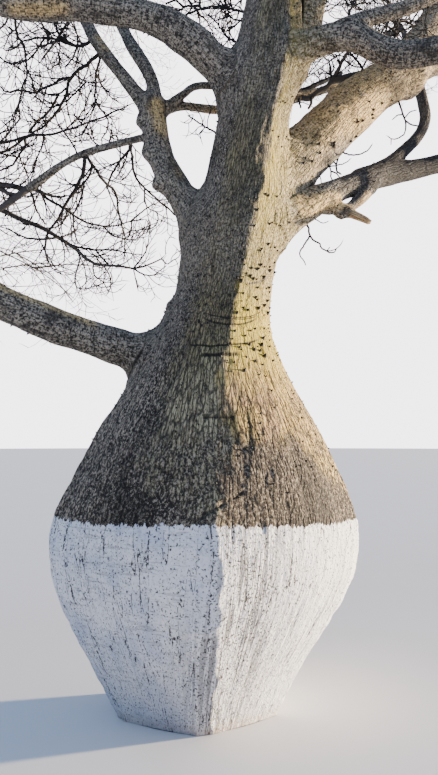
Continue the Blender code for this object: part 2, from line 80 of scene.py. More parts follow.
# Boughs: what carries each, its route, its radius at the start and at the tip
boughs = {
    "low_left_bough": (
        "trunk", ((-0.02, 0.03, 2.08), (-0.43, -0.08, 2.12), (-1.09, -0.38, 2.34),
                  (-2.20, -0.80, 2.90), (-3.40, -1.10, 3.70)), 0.112, 0.055),
    "big_right_bough": (
        "trunk", ((0.22, 0.04, 2.72), (0.57, 0.18, 3.29), (1.14, 0.48, 3.95),
                  (1.48, 0.66, 4.24)), 0.178, 0.160),
    "upper_left_bough": (
        "trunk", ((0.40, 0.02, 3.60), (0.15, -0.06, 3.85), (-0.20, -0.15, 4.10),
                  (-0.72, -0.14, 4.22), (-1.25, -0.12, 4.26), (-2.30, -0.25, 4.75),
                  (-3.30, -0.50, 5.50)), 0.112, 0.055),
    "upper_right_bough": (
        "trunk", ((0.42, 0.02, 3.88), (0.62, -0.12, 3.97), (0.91, -0.22, 4.00),
                  (1.25, -0.31, 3.84), (1.80, -0.55, 4.00), (2.80, -1.20, 4.90)), 0.092, 0.050),
    "rising_right_bough": (
        "trunk", ((0.50, 0.06, 3.78), (0.69, 0.10, 4.13), (0.76, 0.13, 4.45),
                  (0.95, 0.30, 5.20), (1.30, 0.50, 6.20)), 0.090, 0.050),
    "mid_left_bough": (
        "trunk", ((0.15, 0.02, 2.66), (-0.09, 0.10, 3.09), (-0.25, 0.17, 3.43),
                  (-0.29, 0.21, 3.76)), 0.106, 0.068),
    "low_right_bough": (
        "trunk", ((0.30, 0.02, 2.72), (0.64, 0.06, 3.00), (1.04, 0.26, 3.27),
                  (1.72, 0.60, 3.55), (3.00, 0.90, 4.00)), 0.090, 0.045),
    "back_left_bough": (
        "trunk", ((0.49, 0.04, 4.72), (0.28, 0.42, 5.25), (-0.18, 1.15, 5.70),
                  (-0.78, 2.10, 6.05)), 0.085, 0.050),
    "back_bough": (
        "trunk", ((0.48, 0.04, 4.40), (0.55, 0.60, 4.90), (0.70, 1.50, 5.50),
                  (0.80, 2.40, 6.10)), 0.080, 0.048),
    "front_bough": (
        "trunk", ((0.49, -0.03, 4.55), (0.60, -0.60, 5.00), (0.70, -1.30, 5.60),
                  (0.80, -2.00, 6.30)), 0.082, 0.050),
    "front_leader": (
        "trunk", ((0.50, -0.01, 5.08), (0.45, -0.20, 5.70), (0.20, -0.50, 6.50),
                  (0.05, -0.70, 7.20)), 0.105, 0.060),
    "back_leader": (
        "trunk", ((0.51, 0.01, 5.08), (0.60, 0.15, 5.70), (0.60, 0.50, 6.60),
                  (0.50, 0.80, 7.40)), 0.100, 0.055),
    "front_left_bough": (
        "upper_left_bough", ((-1.25, -0.12, 4.26), (-1.60, -0.80, 4.80), (-2.00, -1.60, 5.40),
                             (-2.30, -2.30, 6.00)), 0.060, 0.040),
    "mid_left_outer_bough": (
        "mid_left_bough", ((-0.28, 0.20, 3.64), (-0.42, 0.26, 3.88), (-0.69, 0.38, 4.28),
                           (-0.87, 0.50, 4.66), (-1.40, 0.75, 5.60)), 0.052, 0.032),
    "mid_left_inner_bough": (
        "mid_left_bough", ((-0.28, 0.20, 3.66), (-0.31, 0.28, 3.97), (-0.50, 0.46, 4.38),
                           (-0.75, 0.85, 5.10), (-0.95, 1.15, 5.90)), 0.048, 0.032),
    "crossing_bough": (
        "mid_left_bough", ((-0.28, 0.20, 3.66), (-0.12, 0.30, 3.80), (0.21, 0.50, 3.88),
                           (0.79, 0.85, 4.16), (1.20, 1.10, 4.42)), 0.036, 0.024),
    "crossing_upper_branch": (
        "mid_left_bough", ((-0.27, 0.19, 3.70), (-0.11, 0.27, 3.86), (0.03, 0.42, 4.01),
                           (0.47, 0.68, 4.10), (0.79, 0.92, 4.24), (1.18, 1.28, 4.58)),
        0.027, 0.015),
    "drooping_bough": (
        "mid_left_bough", ((-0.26, 0.17, 3.54), (-0.46, 0.24, 3.53), (-0.84, 0.42, 3.49),
                           (-1.18, 0.56, 3.32)), 0.027, 0.019),
    "upper_right_branch": (
        "upper_right_bough", ((0.85, -0.21, 3.99), (0.99, -0.22, 4.10), (1.36, -0.18, 4.25),
                              (1.65, -0.18, 4.50), (2.10, -0.20, 5.30)), 0.048, 0.034),
    "big_right_outer_bough": (
        "big_right_bough", ((1.40, 0.61, 4.17), (1.85, 0.90, 4.49), (2.60, 1.20, 4.75),
                            (3.50, 1.60, 5.10)), 0.132, 0.062),
    "big_right_rising_bough": (
        "big_right_bough", ((1.38, 0.61, 4.16), (1.75, 0.90, 4.71), (1.94, 1.05, 5.07),
                            (2.40, 1.70, 6.00)), 0.122, 0.060),
    "low_right_branch": (
        "low_right_bough", ((1.04, 0.26, 3.27), (1.41, 0.52, 3.57), (1.71, 0.85, 3.95),
                            (1.80, 1.20, 4.40), (1.90, 1.80, 5.10)), 0.048, 0.034),
    "broken_stub": (
        "low_right_bough", ((0.80, 0.15, 3.10), (0.94, 0.12, 3.04), (1.07, 0.09, 2.97)),
        0.050, 0.030),
}
# A torn limb that leans on the broken stub, and the stub's splintered end
tornLimb = {
    "torn_limb": ("low_right_bough", ((1.16, 0.29, 3.29), (1.08, 0.22, 3.17), (0.98, 0.15, 3.07), (0.91, 0.12, 3.01)),
                  0.042, 0.026),
}
splinters = {"length": 0.085, "stand": 0.075, "spacing": 0.018, "fresh": 0.22}
limbs = {**boughs, **tornLimb}

# Boughs that show thinner or thicker than the frame's: radius at the start and at the tip
shownRadii = {"drooping_bough": (0.020, 0.029), "crossing_bough": (0.026, 0.034), "broken_stub": (0.046, 0.020)}
# Boughs painted golden for sunlight, above 0, or slate grey for shade, below 0
paintedBoughLight = {
    "big_right_bough": 1.0, "big_right_outer_bough": 0.6, "big_right_rising_bough": 0.3, "low_right_bough": -0.9,
    "low_right_branch": -1.0, "broken_stub": 0.9, "torn_limb": -0.7, "upper_right_bough": -0.35,
    "crossing_bough": 0.7, "mid_left_bough": 0.15, "upper_right_branch": 0.2,
}
# Painted sunlight on the boughs, golden patches: from, to, half width and how golden
paintedSunPatches = (
    ((-1.10, -0.22, 4.11), (-0.83, -0.24, 4.11), 0.070, 2.0), ((-0.24, 0.10, 3.72), (-0.20, 0.08, 3.59), 0.065, 2.0),
    ((-0.20, 0.08, 3.59), (-0.09, 0.02, 3.27), 0.045, 1.5), ((0.67, -0.02, 3.02), (0.93, 0.06, 3.10), 0.070, 1.8),
    ((-1.09, -0.44, 2.435), (-0.60, -0.25, 2.270), 0.048, 1.1), ((-0.66, 0.30, 4.32), (-0.61, 0.27, 4.23), 0.050, 1.8),
)
boughForm = {
    "flare": 0.35, "flareLength": 0.16,     # each thickens where it leaves what carries it
    "forkDistance": 0.25,           # a bough that starts this near its carrier's tip has no flare
    "spacings": (0.48, 0.36), "thick": 0.105, "curveSteps": 24,
    "fineSpacing": 0.07,            # between the points of the line that carries the bark
    "uneven": 0.10,                 # swelling and narrowing along a bough, as a share of its radius
}

# Masses of twigs: the bough that each grows on from, the middle of its space and its reach
masses = {
    "low_left_twigs": ("low_left_bough", (-4.30, -1.40, 4.60), 1.77),
    "upper_left_twigs": ("upper_left_bough", (-4.00, -0.40, 6.90), 1.77),
    "front_left_twigs": ("front_left_bough", (-2.60, -3.10, 7.10), 1.65),
    "mid_left_outer_twigs": ("mid_left_outer_bough", (-2.30, 1.20, 6.60), 1.65),
    "mid_left_inner_twigs": ("mid_left_inner_bough", (-1.20, 1.30, 7.50), 1.59),
    "crossing_twigs": ("crossing_bough", (1.50, 2.20, 4.20), 1.24),
    "drooping_twigs": ("drooping_bough", (-1.15, 1.15, 3.50), 1.40),
    "upper_right_twigs": ("upper_right_bough", (3.70, -1.80, 5.80), 1.77),
    "upper_right_branch_twigs": ("upper_right_branch", (2.60, -0.50, 6.90), 1.59),
    "rising_right_twigs": ("rising_right_bough", (1.70, 0.60, 7.80), 1.59),
    "big_right_rising_twigs": ("big_right_rising_bough", (2.90, 2.30, 7.30), 1.65),
    "big_right_outer_twigs": ("big_right_outer_bough", (4.50, 1.80, 6.00), 1.77),
    "low_right_twigs": ("low_right_bough", (4.20, 0.60, 4.10), 1.59),
    "low_right_branch_twigs": ("low_right_branch", (2.20, 3.10, 5.60), 1.59),
    "front_leader_twigs": ("front_leader", (-0.30, -1.00, 8.60), 1.65),
    "back_leader_twigs": ("back_leader", (0.40, 1.00, 8.90), 1.59),
    "back_left_twigs": ("back_left_bough", (-1.00, 3.30, 6.70), 1.65),
    "back_twigs": ("back_bough", (0.80, 3.70, 7.20), 1.65),
    "front_twigs": ("front_bough", (0.70, -3.00, 7.40), 1.65),
}
massNames = list(masses)
hangingMasses = ("drooping_twigs", "crossing_twigs")


# Noise, lines and meshes that every piece uses

noiseCells = 64


def latticeNoise(places, seed):
    table = np.random.default_rng(seed).random((noiseCells,) * 3)
    low = np.floor(places).astype(int)
    inner = places - low
    inner = inner * inner * (3 - 2 * inner)
    total = np.zeros(len(places))
    for corner in range(8):
        step = np.array([corner & 1, corner >> 1 & 1, corner >> 2 & 1])
        share = np.where(step, inner, 1 - inner).prod(axis=1)
        cell = (low + step) % noiseCells
        total += share * table[cell[:, 0], cell[:, 1], cell[:, 2]]
    return total


def layeredNoise(places, seed, layers=3):
    total, size, whole = 0.0, 1.0, 0.0
    for layer in range(layers):
        total = total + size * latticeNoise(places * 2 ** layer, seed + layer)
        whole += size
        size *= 0.5
    return total / whole * 2 - 1        # between -1 and 1


def unit(vectors):
    return vectors / np.maximum(np.linalg.norm(vectors, axis=-1, keepdims=True), 1e-9)


def meshPiece(name, vertices, faces, materials, faceMaterials=None, smooth=True):
    mesh = bpy.data.meshes.new(name)
    sides = faces.shape[1]
    mesh.vertices.add(len(vertices))
    mesh.vertices.foreach_set("co", np.ascontiguousarray(vertices, np.float32).ravel())
    mesh.loops.add(faces.size)
    mesh.loops.foreach_set("vertex_index", np.ascontiguousarray(faces, np.int32).ravel())
    mesh.polygons.add(len(faces))
    mesh.polygons.foreach_set("loop_start", np.arange(0, faces.size, sides, dtype=np.int32))
    mesh.update(calc_edges=True)
    for material in materials:
        mesh.materials.append(material)
    if faceMaterials is not None:
        mesh.polygons.foreach_set("material_index", np.ascontiguousarray(faceMaterials, np.int32))
    if smooth:
        mesh.shade_smooth()
    piece = bpy.data.objects.new(name, mesh)
    bpy.context.scene.collection.objects.link(piece)
    return piece


# Tubes for many lines at once: lines is (count, points, 3) and radii (count, points)
def tubeArrays(lines, radii, sides, pointed=True):
    count, length = radii.shape
    toNext = np.diff(lines, axis=1)
    along = unit(np.concatenate((toNext[:, :1], toNext[:, 1:] + toNext[:, :-1], toNext[:, -1:]), axis=1))
    first = along[:, 0]
    helper = np.where(np.abs(first[:, 2:]) < 0.8, [[0.0, 0.0, 1.0]], [[1.0, 0.0, 0.0]])
    across = unit(np.cross(first, helper))
    rings = []
    last = length - 1 if pointed else length
    for index in range(last):
        direction = along[:, index]
        across = unit(across - direction * (across * direction).sum(axis=1, keepdims=True))
        other = np.cross(direction, across)
        turns = 2 * np.pi * np.arange(sides) / sides
        ring = across[:, None] * np.cos(turns)[None, :, None] + other[:, None] * np.sin(turns)[None, :, None]
        rings.append(lines[:, index, None] + ring * radii[:, index, None, None])
    vertices = np.concatenate(rings, axis=1)
    if pointed:
        vertices = np.concatenate((vertices, lines[:, -1:]), axis=1)
    faces = []
    for index in range(last - 1):
        for side in range(sides):
            low = index * sides + side
            high = index * sides + (side + 1) % sides
            faces += [(low, high, high + sides), (low, high + sides, low + sides)]
    top = (last - 1) * sides
    for side in range(sides if pointed else sides - 2):
        if pointed:
            faces.append((top + side, top + (side + 1) % sides, last * sides))
        else:
            faces.append((top, top + side + 1, top + side + 2))
    for side in range(sides - 2):
        faces.append((0, side + 2, side + 1))
    perLine = vertices.shape[1]
    faces = np.array(faces)[None] + (np.arange(count) * perLine)[:, None, None]
    return vertices.reshape(-1, 3), faces.reshape(-1, 3)


def joinArrays(parts):
    vertices, faces, start = [], [], 0
    for somePoints, someFaces in parts:
        vertices.append(somePoints)
        faces.append(someFaces + start)
        start += len(somePoints)
    return np.concatenate(vertices), np.concatenate(faces)


# Evenly spaced points on a smooth curve through a route's points
def curveThrough(route, spacing):
    stops = [Vector(point) for point in route]
    padded = [2 * stops[0] - stops[1]] + stops + [2 * stops[-1] - stops[-2]]
    steps = boughForm["curveSteps"]
    fine = []
    for index in range(1, len(padded) - 2):
        before, start, end, after = padded[index - 1:index + 3]
        for step in range(steps):
            t = step / steps
            fine.append(0.5 * (2 * start + (end - before) * t
                               + (2 * before - 5 * start + 4 * end - after) * t ** 2
                               + (3 * start - before - 3 * end + after) * t ** 3))
    fine.append(stops[-1])
    travelled = [0.0]
    for previous, point in zip(fine, fine[1:]):
        travelled.append(travelled[-1] + (point - previous).length)
    count = max(2, round(travelled[-1] / spacing))
    points = []
    index = 0
    for number in range(count):
        goal = travelled[-1] * number / count
        while travelled[index + 1] < goal:
            index += 1
        share = (goal - travelled[index]) / (travelled[index + 1] - travelled[index])
        points.append(fine[index].lerp(fine[index + 1], share))
    points.append(stops[-1])
    return points


def boughShape(name, spacing=None):
    carrier, route, startRadius, tipRadius = limbs[name]
    if spacing:
        startRadius, tipRadius = shownRadii.get(name, (startRadius, tipRadius))
    carrierTip = (Vector((trunkForm["stations"][-1][1], 0, trunkForm["stations"][-1][0]))
                  if carrier == "trunk" else Vector(boughs[carrier][1][-1]))
    forks = (carrierTip - Vector(route[0])).length < boughForm["forkDistance"]
    coarse = boughForm["spacings"][0 if startRadius >= boughForm["thick"] else 1]
    points = curveThrough(route, spacing or coarse)
    length = sum((end - start).length for start, end in zip(points, points[1:]))
    radii = []
    travelled = 0.0
    for index, point in enumerate(points):
        if index:
            travelled += (point - points[index - 1]).length
        plain = startRadius + (tipRadius - startRadius) * travelled / length
        flare = 0 if forks else boughForm["flare"] * math.exp(-travelled / boughForm["flareLength"])
        radii.append(plain * (1 + flare))
    return points, radii


# The wood: trunk and boughs as one skin, rounded at every fork

woodForm = {
    "cell": 0.012,              # size of the skin's cells
    "fillets": (1.4, 1.3),      # rounding of a fork on the trunk and on a bough, as a share of the radius
    "widest": 0.15,             # and the most that it may be
    "colourFillet": 0.30,       # how far the trunk's colours run on to a bough
    "settles": 4,               # times that the skin is pulled on to the rounded form
}


def smoothColumn(heights, column):
    knots = np.array([row[0] for row in trunkForm["stations"]])
    values = np.array([row[column] for row in trunkForm["stations"]])
    slopes = np.empty_like(values)
    slopes[1:-1] = (values[2:] - values[:-2]) / (knots[2:] - knots[:-2])
    slopes[0] = (values[1] - values[0]) / (knots[1] - knots[0])
    slopes[-1] = (values[-1] - values[-2]) / (knots[-1] - knots[-2])
    index = np.clip(np.searchsorted(knots, heights) - 1, 0, len(knots) - 2)
    span = knots[index + 1] - knots[index]
    t = (heights - knots[index]) / span
    startShare = 2 * t ** 3 - 3 * t ** 2 + 1
    return (startShare * values[index] + (1 - startShare) * values[index + 1]
            + (t ** 3 - 2 * t ** 2 + t) * span * slopes[index]
            + (t ** 3 - t ** 2) * span * slopes[index + 1])


def trunkSection(heights, angles):
    half = math.pi / trunkForm["ribs"]
    fromRib = np.abs((angles + half) % (2 * half) - half)
    flatSided = math.cos(half) / np.cos(half - fromRib)
    fade = np.maximum(0.0, 1 - heights / trunkForm["ribTop"])
    ribs = 1 + trunkForm["ribShare"] * fade * (flatSided - 1 + trunkForm["ribStand"])
    depth = 1 - (1 - trunkForm["footDepth"]) * fade
    return smoothColumn(heights, 2) * ribs, depth


def trunkField(points):
    top = trunkForm["stations"][-1][0]
    heights = np.clip(points[:, 2], 0, top)
    middle = smoothColumn(heights, 1)
    right = points[:, 0] - middle
    depth = trunkSection(heights, heights * 0)[1]
    back = points[:, 1] / depth
    across = np.maximum(np.hypot(right, back), 1e-6)
    angles = np.arctan2(back, right) + math.pi / 2
    away = across - trunkSection(heights, angles)[0]
    above = points[:, 2] - top
    away = np.where(above > 0, np.hypot(np.maximum(away, 0), above), away)
    slope = np.stack((right / across, back / across, np.zeros(len(points))), axis=1)
    wide = trunkForm["grainRadius"]
    grain = np.stack((right / across * wide, back / across * wide, points[:, 2]), axis=1)
    return away, slope, grain


def fineLine(name, number):
    points, radii = boughShape(name, boughForm["fineSpacing"])
    points = np.array(points)
    radii = np.array(radii)
    travelled = np.concatenate(([0.0], np.cumsum(np.linalg.norm(np.diff(points, axis=0), axis=1))))
    along = np.stack((travelled * 3.1, travelled * 0 + number * 7.3, travelled * 0), axis=1)
    fadeIn = np.clip(travelled / 0.5, 0, 1)
    radii = radii * (1 + boughForm["uneven"] * layeredNoise(along, 41, 2) * fadeIn)
    carrier, route = limbs[name][:2]
    onTrunk = carrier == "trunk"
    carrierRadius = float(smoothColumn(np.array([route[0][2]]), 2)[0]) if onTrunk else boughs[carrier][2]
    directions = unit(np.gradient(points, axis=0))
    across = np.array(Vector(directions[0]).orthogonal().normalized())
    axes = []
    for direction in directions:
        across = unit(across - direction * (across @ direction))
        axes.append(across)
    return {"points": points, "radii": radii, "travelled": travelled,
            "across": np.array(axes), "along": directions,
            "fillet": woodForm["fillets"][0 if onTrunk else 1], "rooted": carrierRadius * 0.8,
            "meanRadius": float(radii.mean()), "number": number, "paintedSunShade": paintedBoughLight.get(name, 0.0),
            "owner": list(boughs).index("broken_stub" if name in tornLimb else name) + 1}


# How far points are from a bough's surface, and where they are along and around it
def boughField(line, points):
    starts, ends = line["points"][:-1], line["points"][1:]
    run = ends - starts
    offset = points[:, None] - starts[None]
    share = np.clip((offset * run).sum(axis=2) / (run ** 2).sum(axis=1), 0, 1)
    gap = offset - share[..., None] * run
    radius = line["radii"][:-1] + share * np.diff(line["radii"])
    away = np.linalg.norm(gap, axis=2) - radius
    best = away.argmin(axis=1)
    row = np.arange(len(points))
    share, gap = share[row, best], gap[row, best]
    across = unit(line["across"][best] * (1 - share[:, None]) + line["across"][best + 1] * share[:, None])
    along = unit(line["along"][best] * (1 - share[:, None]) + line["along"][best + 1] * share[:, None])
    outward = unit(gap)
    cosine = (outward * across).sum(axis=1)
    sine = (outward * np.cross(along, across)).sum(axis=1)
    station = line["travelled"][best] + share * np.diff(line["travelled"])[best]
    wide = line["meanRadius"]
    grain = np.stack((cosine * wide + line["number"] * 5.0, sine * wide, station), axis=1)
    return away[row, best], outward, grain, radius[row, best]


def woodField(points, lines):
    value, slope, grain = trunkField(points)
    trunkPlace = grain.copy()
    grain[:, :2] *= np.interp(points[:, 2], *trunkForm["grainNarrows"])[:, None]
    nearest = value.copy()
    owner = np.zeros(len(points), int)
    reach = smoothColumn(np.clip(points[:, 2], 0, trunkForm["stations"][-1][0]), 2)
    trunkShare = np.ones(len(points))
    crease = np.zeros(len(points))
    # How much each point is painted golden for sunlight or slate grey for shade
    paintedSunShade = np.zeros(len(points))
    margin = 0.30
    for line in lines:
        low = line["points"].min(axis=0) - line["radii"].max() - margin
        high = line["points"].max(axis=0) + line["radii"].max() + margin
        near = np.flatnonzero(((points > low) & (points < high)).all(axis=1))
        for start in range(0, len(near), 8000):
            some = near[start:start + 8000]
            away, outward, itsGrain, radius = boughField(line, points[some])
            width = np.minimum(line["fillet"] * radius, woodForm["widest"])
            width = width * np.clip(itsGrain[:, 2] / line["rooted"], 0.1, 1)
            keep = np.clip(0.5 + 0.5 * (away - value[some]) / width, 0, 1)
            wide = np.clip(0.5 + 0.5 * (away - value[some]) / woodForm["colourFillet"], 0, 1)
            facing = (outward * unit(slope[some])).sum(axis=1)
            crotch = np.clip(0.15 - facing, 0, 1)
            crease[some] = np.maximum(crease[some] * keep, crotch * np.exp(-((away - value[some]) / 0.016) ** 2))
            value[some] = away * (1 - keep) + value[some] * keep - width * keep * (1 - keep)
            slope[some] = outward * (1 - keep)[:, None] + slope[some] * keep[:, None]
            trunkShare[some] *= wide
            paintedSunShade[some] = line["paintedSunShade"] * (1 - wide) + paintedSunShade[some] * wide
            inside = 1 - np.clip(itsGrain[:, 2] / line["rooted"] / 1.4, 0, 1)
            ragged = 0.02 * (latticeNoise(points[some] * 22, 15) - 0.5)
            closer = away + 0.10 * inside + ragged < nearest[some]
            nearest[some] = np.where(closer, away, nearest[some])
            owner[some] = np.where(closer, line["owner"], owner[some])
            grain[some] = np.where(closer[:, None], itsGrain, grain[some])
            reach[some] = np.where(closer, radius, reach[some])
    return value, slope, grain, owner, trunkShare, crease, reach, trunkPlace, paintedSunShade


def woodSkin(lines):
    heights = np.linspace(0, trunkForm["stations"][-1][0], 160)
    angles = np.linspace(0, 2 * np.pi, 72, endpoint=False)
    high, around = np.meshgrid(heights, angles, indexing="ij")
    reach, depth = trunkSection(high, around)
    middle = smoothColumn(high, 1)
    grid = np.stack((middle + reach * np.sin(around), -reach * depth * np.cos(around), high), axis=2)
    sides = len(angles)
    faces = []
    for ring in range(len(heights) - 1):
        for side in range(sides):
            low = ring * sides + side
            other = ring * sides + (side + 1) % sides
            faces += [(low, other, other + sides), (low, other + sides, low + sides)]
    top = (len(heights) - 1) * sides
    for side in range(1, sides - 1):
        faces += [(0, side + 1, side), (top, top + side, top + side + 1)]
    parts = [(grid.reshape(-1, 3), np.array(faces))]
    for line in lines:
        parts.append(tubeArrays(line["points"][None], line["radii"][None], 18, pointed=False))
    shell = meshPiece("woodShell", *joinArrays(parts), [], smooth=False)
    remesh = shell.modifiers.new("skin", "REMESH")
    remesh.mode = "VOXEL"
    remesh.voxel_size = woodForm["cell"]
    graph = bpy.context.evaluated_depsgraph_get()
    mesh = bpy.data.meshes.new_from_object(shell.evaluated_get(graph))
    bpy.data.objects.remove(shell, do_unlink=True)
    points = np.empty(len(mesh.vertices) * 3, np.float32)
    mesh.vertices.foreach_get("co", points)
    corners = np.empty(len(mesh.loops), np.int32)
    mesh.loops.foreach_get("vertex_index", corners)
    points = points.reshape(-1, 3).astype(float)
    faces = corners.reshape(-1, 4)
    bpy.data.meshes.remove(mesh)
    return points, faces


def vertexNormals(points, faces):
    crossed = np.cross(points[faces[:, 2]] - points[faces[:, 0]], points[faces[:, 3]] - points[faces[:, 1]])
    normals = np.zeros_like(points)
    for corner in range(4):
        for axis in range(3):
            normals[:, axis] += np.bincount(faces[:, corner], crossed[:, axis], len(points))
    return unit(normals)


# Relief of the bark, outwards along the skin's normal, in metres
barkRelief = {
    "lump": 0.013, "lumpShare": 0.16,       # soft lumps, at most this share of the limb's radius
    "groove": 0.0055, "grooveSpacing": 0.030,
    "rough": 0.0045,
    "paintSmooths": 0.55,                   # share of the relief that is left under the limewash
    "creaseDepth": 0.012,                   # bark ridge in a fork
    "ridge": 0.048, "ridgeWidth": 0.20,     # sharp edge on each rib: height as a share of the radius, radians
    "ridgeTop": (1.45, 2.05), "frontRidgeTop": (3.9, 4.6),
    # flat faces between the ridges, and how far the front one stands to the right of the middle, by height
    "flats": ((0.0, 0.0), (0.5, 0.10), (1.0, 0.26), (1.2, 0.20), (1.45, 0.06), (2.1, 0.0)),
    # front ridge: height, how far it stands to the right and how high it is, as a share of the radius
    "frontRidge": ((0.2, 0.080, 0.048), (1.0, 0.060, 0.048), (1.2, 0.046, 0.036), (1.4, 0.036, 0.012),
                   (1.7, 0.036, 0.014), (1.95, 0.060, 0.036),
                   (2.3, 0.100, 0.048), (2.6, 0.078, 0.050), (3.0, 0.118, 0.062), (3.5, 0.128, 0.066),
                   (4.2, 0.100, 0.062)),
    "ridgeWanders": (0.024, 12.0),           # by how much, and how often in a metre
}
# Wrinkles round the neck: angle from the front, to the right, and height at three points, depth and width
neckWrinkles = (
    ((-14, 2.300), (16, 2.268), (55, 2.338), 0.006, 0.0055), ((2, 2.268), (22, 2.261), (46, 2.299), 0.006, 0.0050),
    ((-14, 2.270), (10, 2.228), (46, 2.285), 0.009, 0.0085), ((-22, 2.116), (8, 2.103), (46, 2.159), 0.012, 0.0090),
    ((-9, 2.048), (7, 2.045), (22, 2.055), 0.006, 0.0170), ((26, 2.480), (45, 2.505), (62, 2.545), 0.003, 0.0120),
    ((95, 2.300), (140, 2.262), (175, 2.300), 0.008, 0.0060), ((-170, 2.140), (-130, 2.100), (-95, 2.140), 0.010, 0.0070),
)
# Cracks in the belly and the low left bough: from, to, depth and half width
bellyCracks = (
    ((-0.021, -0.83, 1.176), (0.216, -0.77, 1.314), 0.012, 0.008),
    ((0.034, -0.61, 1.696), (0.180, -0.60, 1.697), 0.008, 0.006),
    ((-0.209, -0.68, 1.449), (-0.111, -0.74, 1.391), 0.010, 0.009),
    ((-1.048, -0.50, 2.225), (-0.791, -0.37, 2.142), 0.010, 0.009),
    ((-0.791, -0.37, 2.142), (-0.449, -0.20, 2.033), 0.010, 0.009),
    ((-0.330, -0.25, 2.092), (-0.420, -0.25, 1.942), 0.008, 0.010),
)
# Burls and knots: place, reach and height
knots = (
    ((-0.264, 0.12, 3.194), 0.050, 0.055), ((-0.371, 0.16, 3.410), 0.048, 0.060),
    ((-0.385, 0.20, 3.639), 0.050, 0.060), ((0.233, -0.82, 1.263), 0.045, -0.020),
    ((-0.180, 0.01, 2.402), 0.045, 0.026), ((-0.226, 0.00, 2.328), 0.035, 0.014),
    ((0.91, 0.18, 3.76), 0.07, 0.016), ((1.02, 0.22, 3.80), 0.06, 0.014),
    ((0.62, 0.06, 3.42), 0.05, 0.016), ((0.50, 0.02, 3.28), 0.05, 0.014),
)


def throughThree(start, middle, end):
    return np.polyfit(*zip(start, middle, end), 2)


def segmentGap(points, start, end):
    start, end = np.array(start), np.array(end)
    share = np.clip((points - start) @ (end - start) / ((end - start) ** 2).sum(), 0, 1)
    return points - start - share[:, None] * (end - start)


def barkHeight(points, grain, owner, crease, reach):
    onTrunk = owner == 0
    lump = np.minimum(barkRelief["lump"], barkRelief["lumpShare"] * reach)
    slow = np.where(onTrunk, 4.0, 7.0)[:, None]
    height = lump * layeredNoise(grain * slow * np.array([1, 1, 0.6]), 11, 2)
    spaced = 1 / barkRelief["grooveSpacing"]
    wavy = grain + 0.012 * np.stack([layeredNoise(grain * 6 + shift, 21, 2) for shift in (0, 9, 18)], axis=1)
    grooves = latticeNoise(wavy * np.array([spaced, spaced, spaced * 0.13]), 31)
    line = np.maximum(0, 1 - np.abs(grooves - 0.5) * 7) ** 1.5
    depth = barkRelief["groove"] * np.where(onTrunk, 1.0, 0.5)
    height -= depth * line * np.clip(reach / 0.12, 0.3, 1)
    rough = barkRelief["rough"] * np.clip(reach / 0.15, 0.35, 1)
    height += rough * layeredNoise(grain * np.array([30, 30, 17]), 51, 2)
    painted = onTrunk & (points[:, 2] < trunkForm["paintTop"])
    height = np.where(painted, height * barkRelief["paintSmooths"] + 0.002, height)
    wobble = 0.5 + 0.5 * layeredNoise(points * 9, 61, 2)
    height -= barkRelief["creaseDepth"] * crease * np.clip(reach / 0.10, 0, 1) * wobble
    angle = np.arctan2(grain[:, 0], -grain[:, 1])
    for start, middle, end, deep, _ in neckWrinkles:
        part = onTrunk * np.clip(1.3 * (1 - np.abs((np.degrees(angle) - (start[0] + end[0]) / 2)
                                                   / (end[0] - start[0]) * 2)), 0, 1)
        centre = np.polyval(throughThree(start, middle, end), np.degrees(angle))
        above = (points[:, 2] - centre) / woodForm["cell"]
        height += part * deep * (0.25 * np.exp(-((above - 2.2) / 1.5) ** 2) - 0.7 * np.exp(-above ** 2))
    ribs = 2 * math.pi / trunkForm["ribs"]
    heights, places, stands = zip(*barkRelief["frontRidge"])
    amount, often = barkRelief["ridgeWanders"]
    wandering = amount * layeredNoise(np.stack((points[:, 2] * often, height * 0, height * 0), axis=1), 81, 2)
    ridgeAngle = (np.interp(points[:, 2], heights, places) + wandering) / reach
    turned = (angle - ridgeAngle + ribs / 2) % ribs - ribs / 2
    flat = math.cos(ribs / 2) * (1 / np.cos(ribs / 2 - np.abs(turned)) - 1 / math.cos(ribs / 4))
    height += onTrunk * np.interp(points[:, 2], *zip(*barkRelief["flats"])) * reach * flat
    fades = [np.clip((high - points[:, 2]) / (high - low), 0, 1)
             for low, high in (barkRelief["ridgeTop"], barkRelief["frontRidgeTop"])]
    inFront = np.abs(angle - ridgeAngle) < ribs / 2
    fade = np.where(inFront, fades[1], fades[0])
    stand = np.where(inFront, np.interp(points[:, 2], heights, stands), barkRelief["ridge"])
    ridge = np.exp(-np.abs(turned) / barkRelief["ridgeWidth"]) - 0.35
    height += onTrunk * stand * reach * ridge * fade
    cracked = height * 0
    for start, end, deep, width in bellyCracks:
        gap = np.linalg.norm(segmentGap(points, start, end)[:, [0, 2]], axis=1)
        inCrack = (points[:, 1] < 0) * np.exp(-(gap / width) ** 2)
        height -= deep * inCrack
        cracked = np.maximum(cracked, inCrack)
    for place, wide, tall in knots:
        far = np.linalg.norm(points - np.array(place), axis=1)
        height += tall * np.exp(-(far / wide) ** 2)
    return height, cracked


# Splinters at the end of the stub: how far each point is torn, and its way along the stub
def tornEnd(points, grain, owner, lines):
    line = lines[list(boughs).index("broken_stub")]
    axis = line["along"][-1]
    past = (points - line["points"][-1]) @ axis
    near = (owner == line["owner"]) & (np.linalg.norm(points - line["points"][-1], axis=1) < 1.2 * splinters["fresh"])
    ending = np.clip(1 + past / splinters["length"], 0, 1) * near
    fresh = np.clip(1 + past / splinters["fresh"], 0, 1) * near
    scale = 1 / splinters["spacing"]
    spikes = latticeNoise(grain * np.array([scale, scale, 3.0]), 71) - 0.45
    return fresh, (ending ** 1.5 * splinters["stand"] * spikes)[:, None] * axis


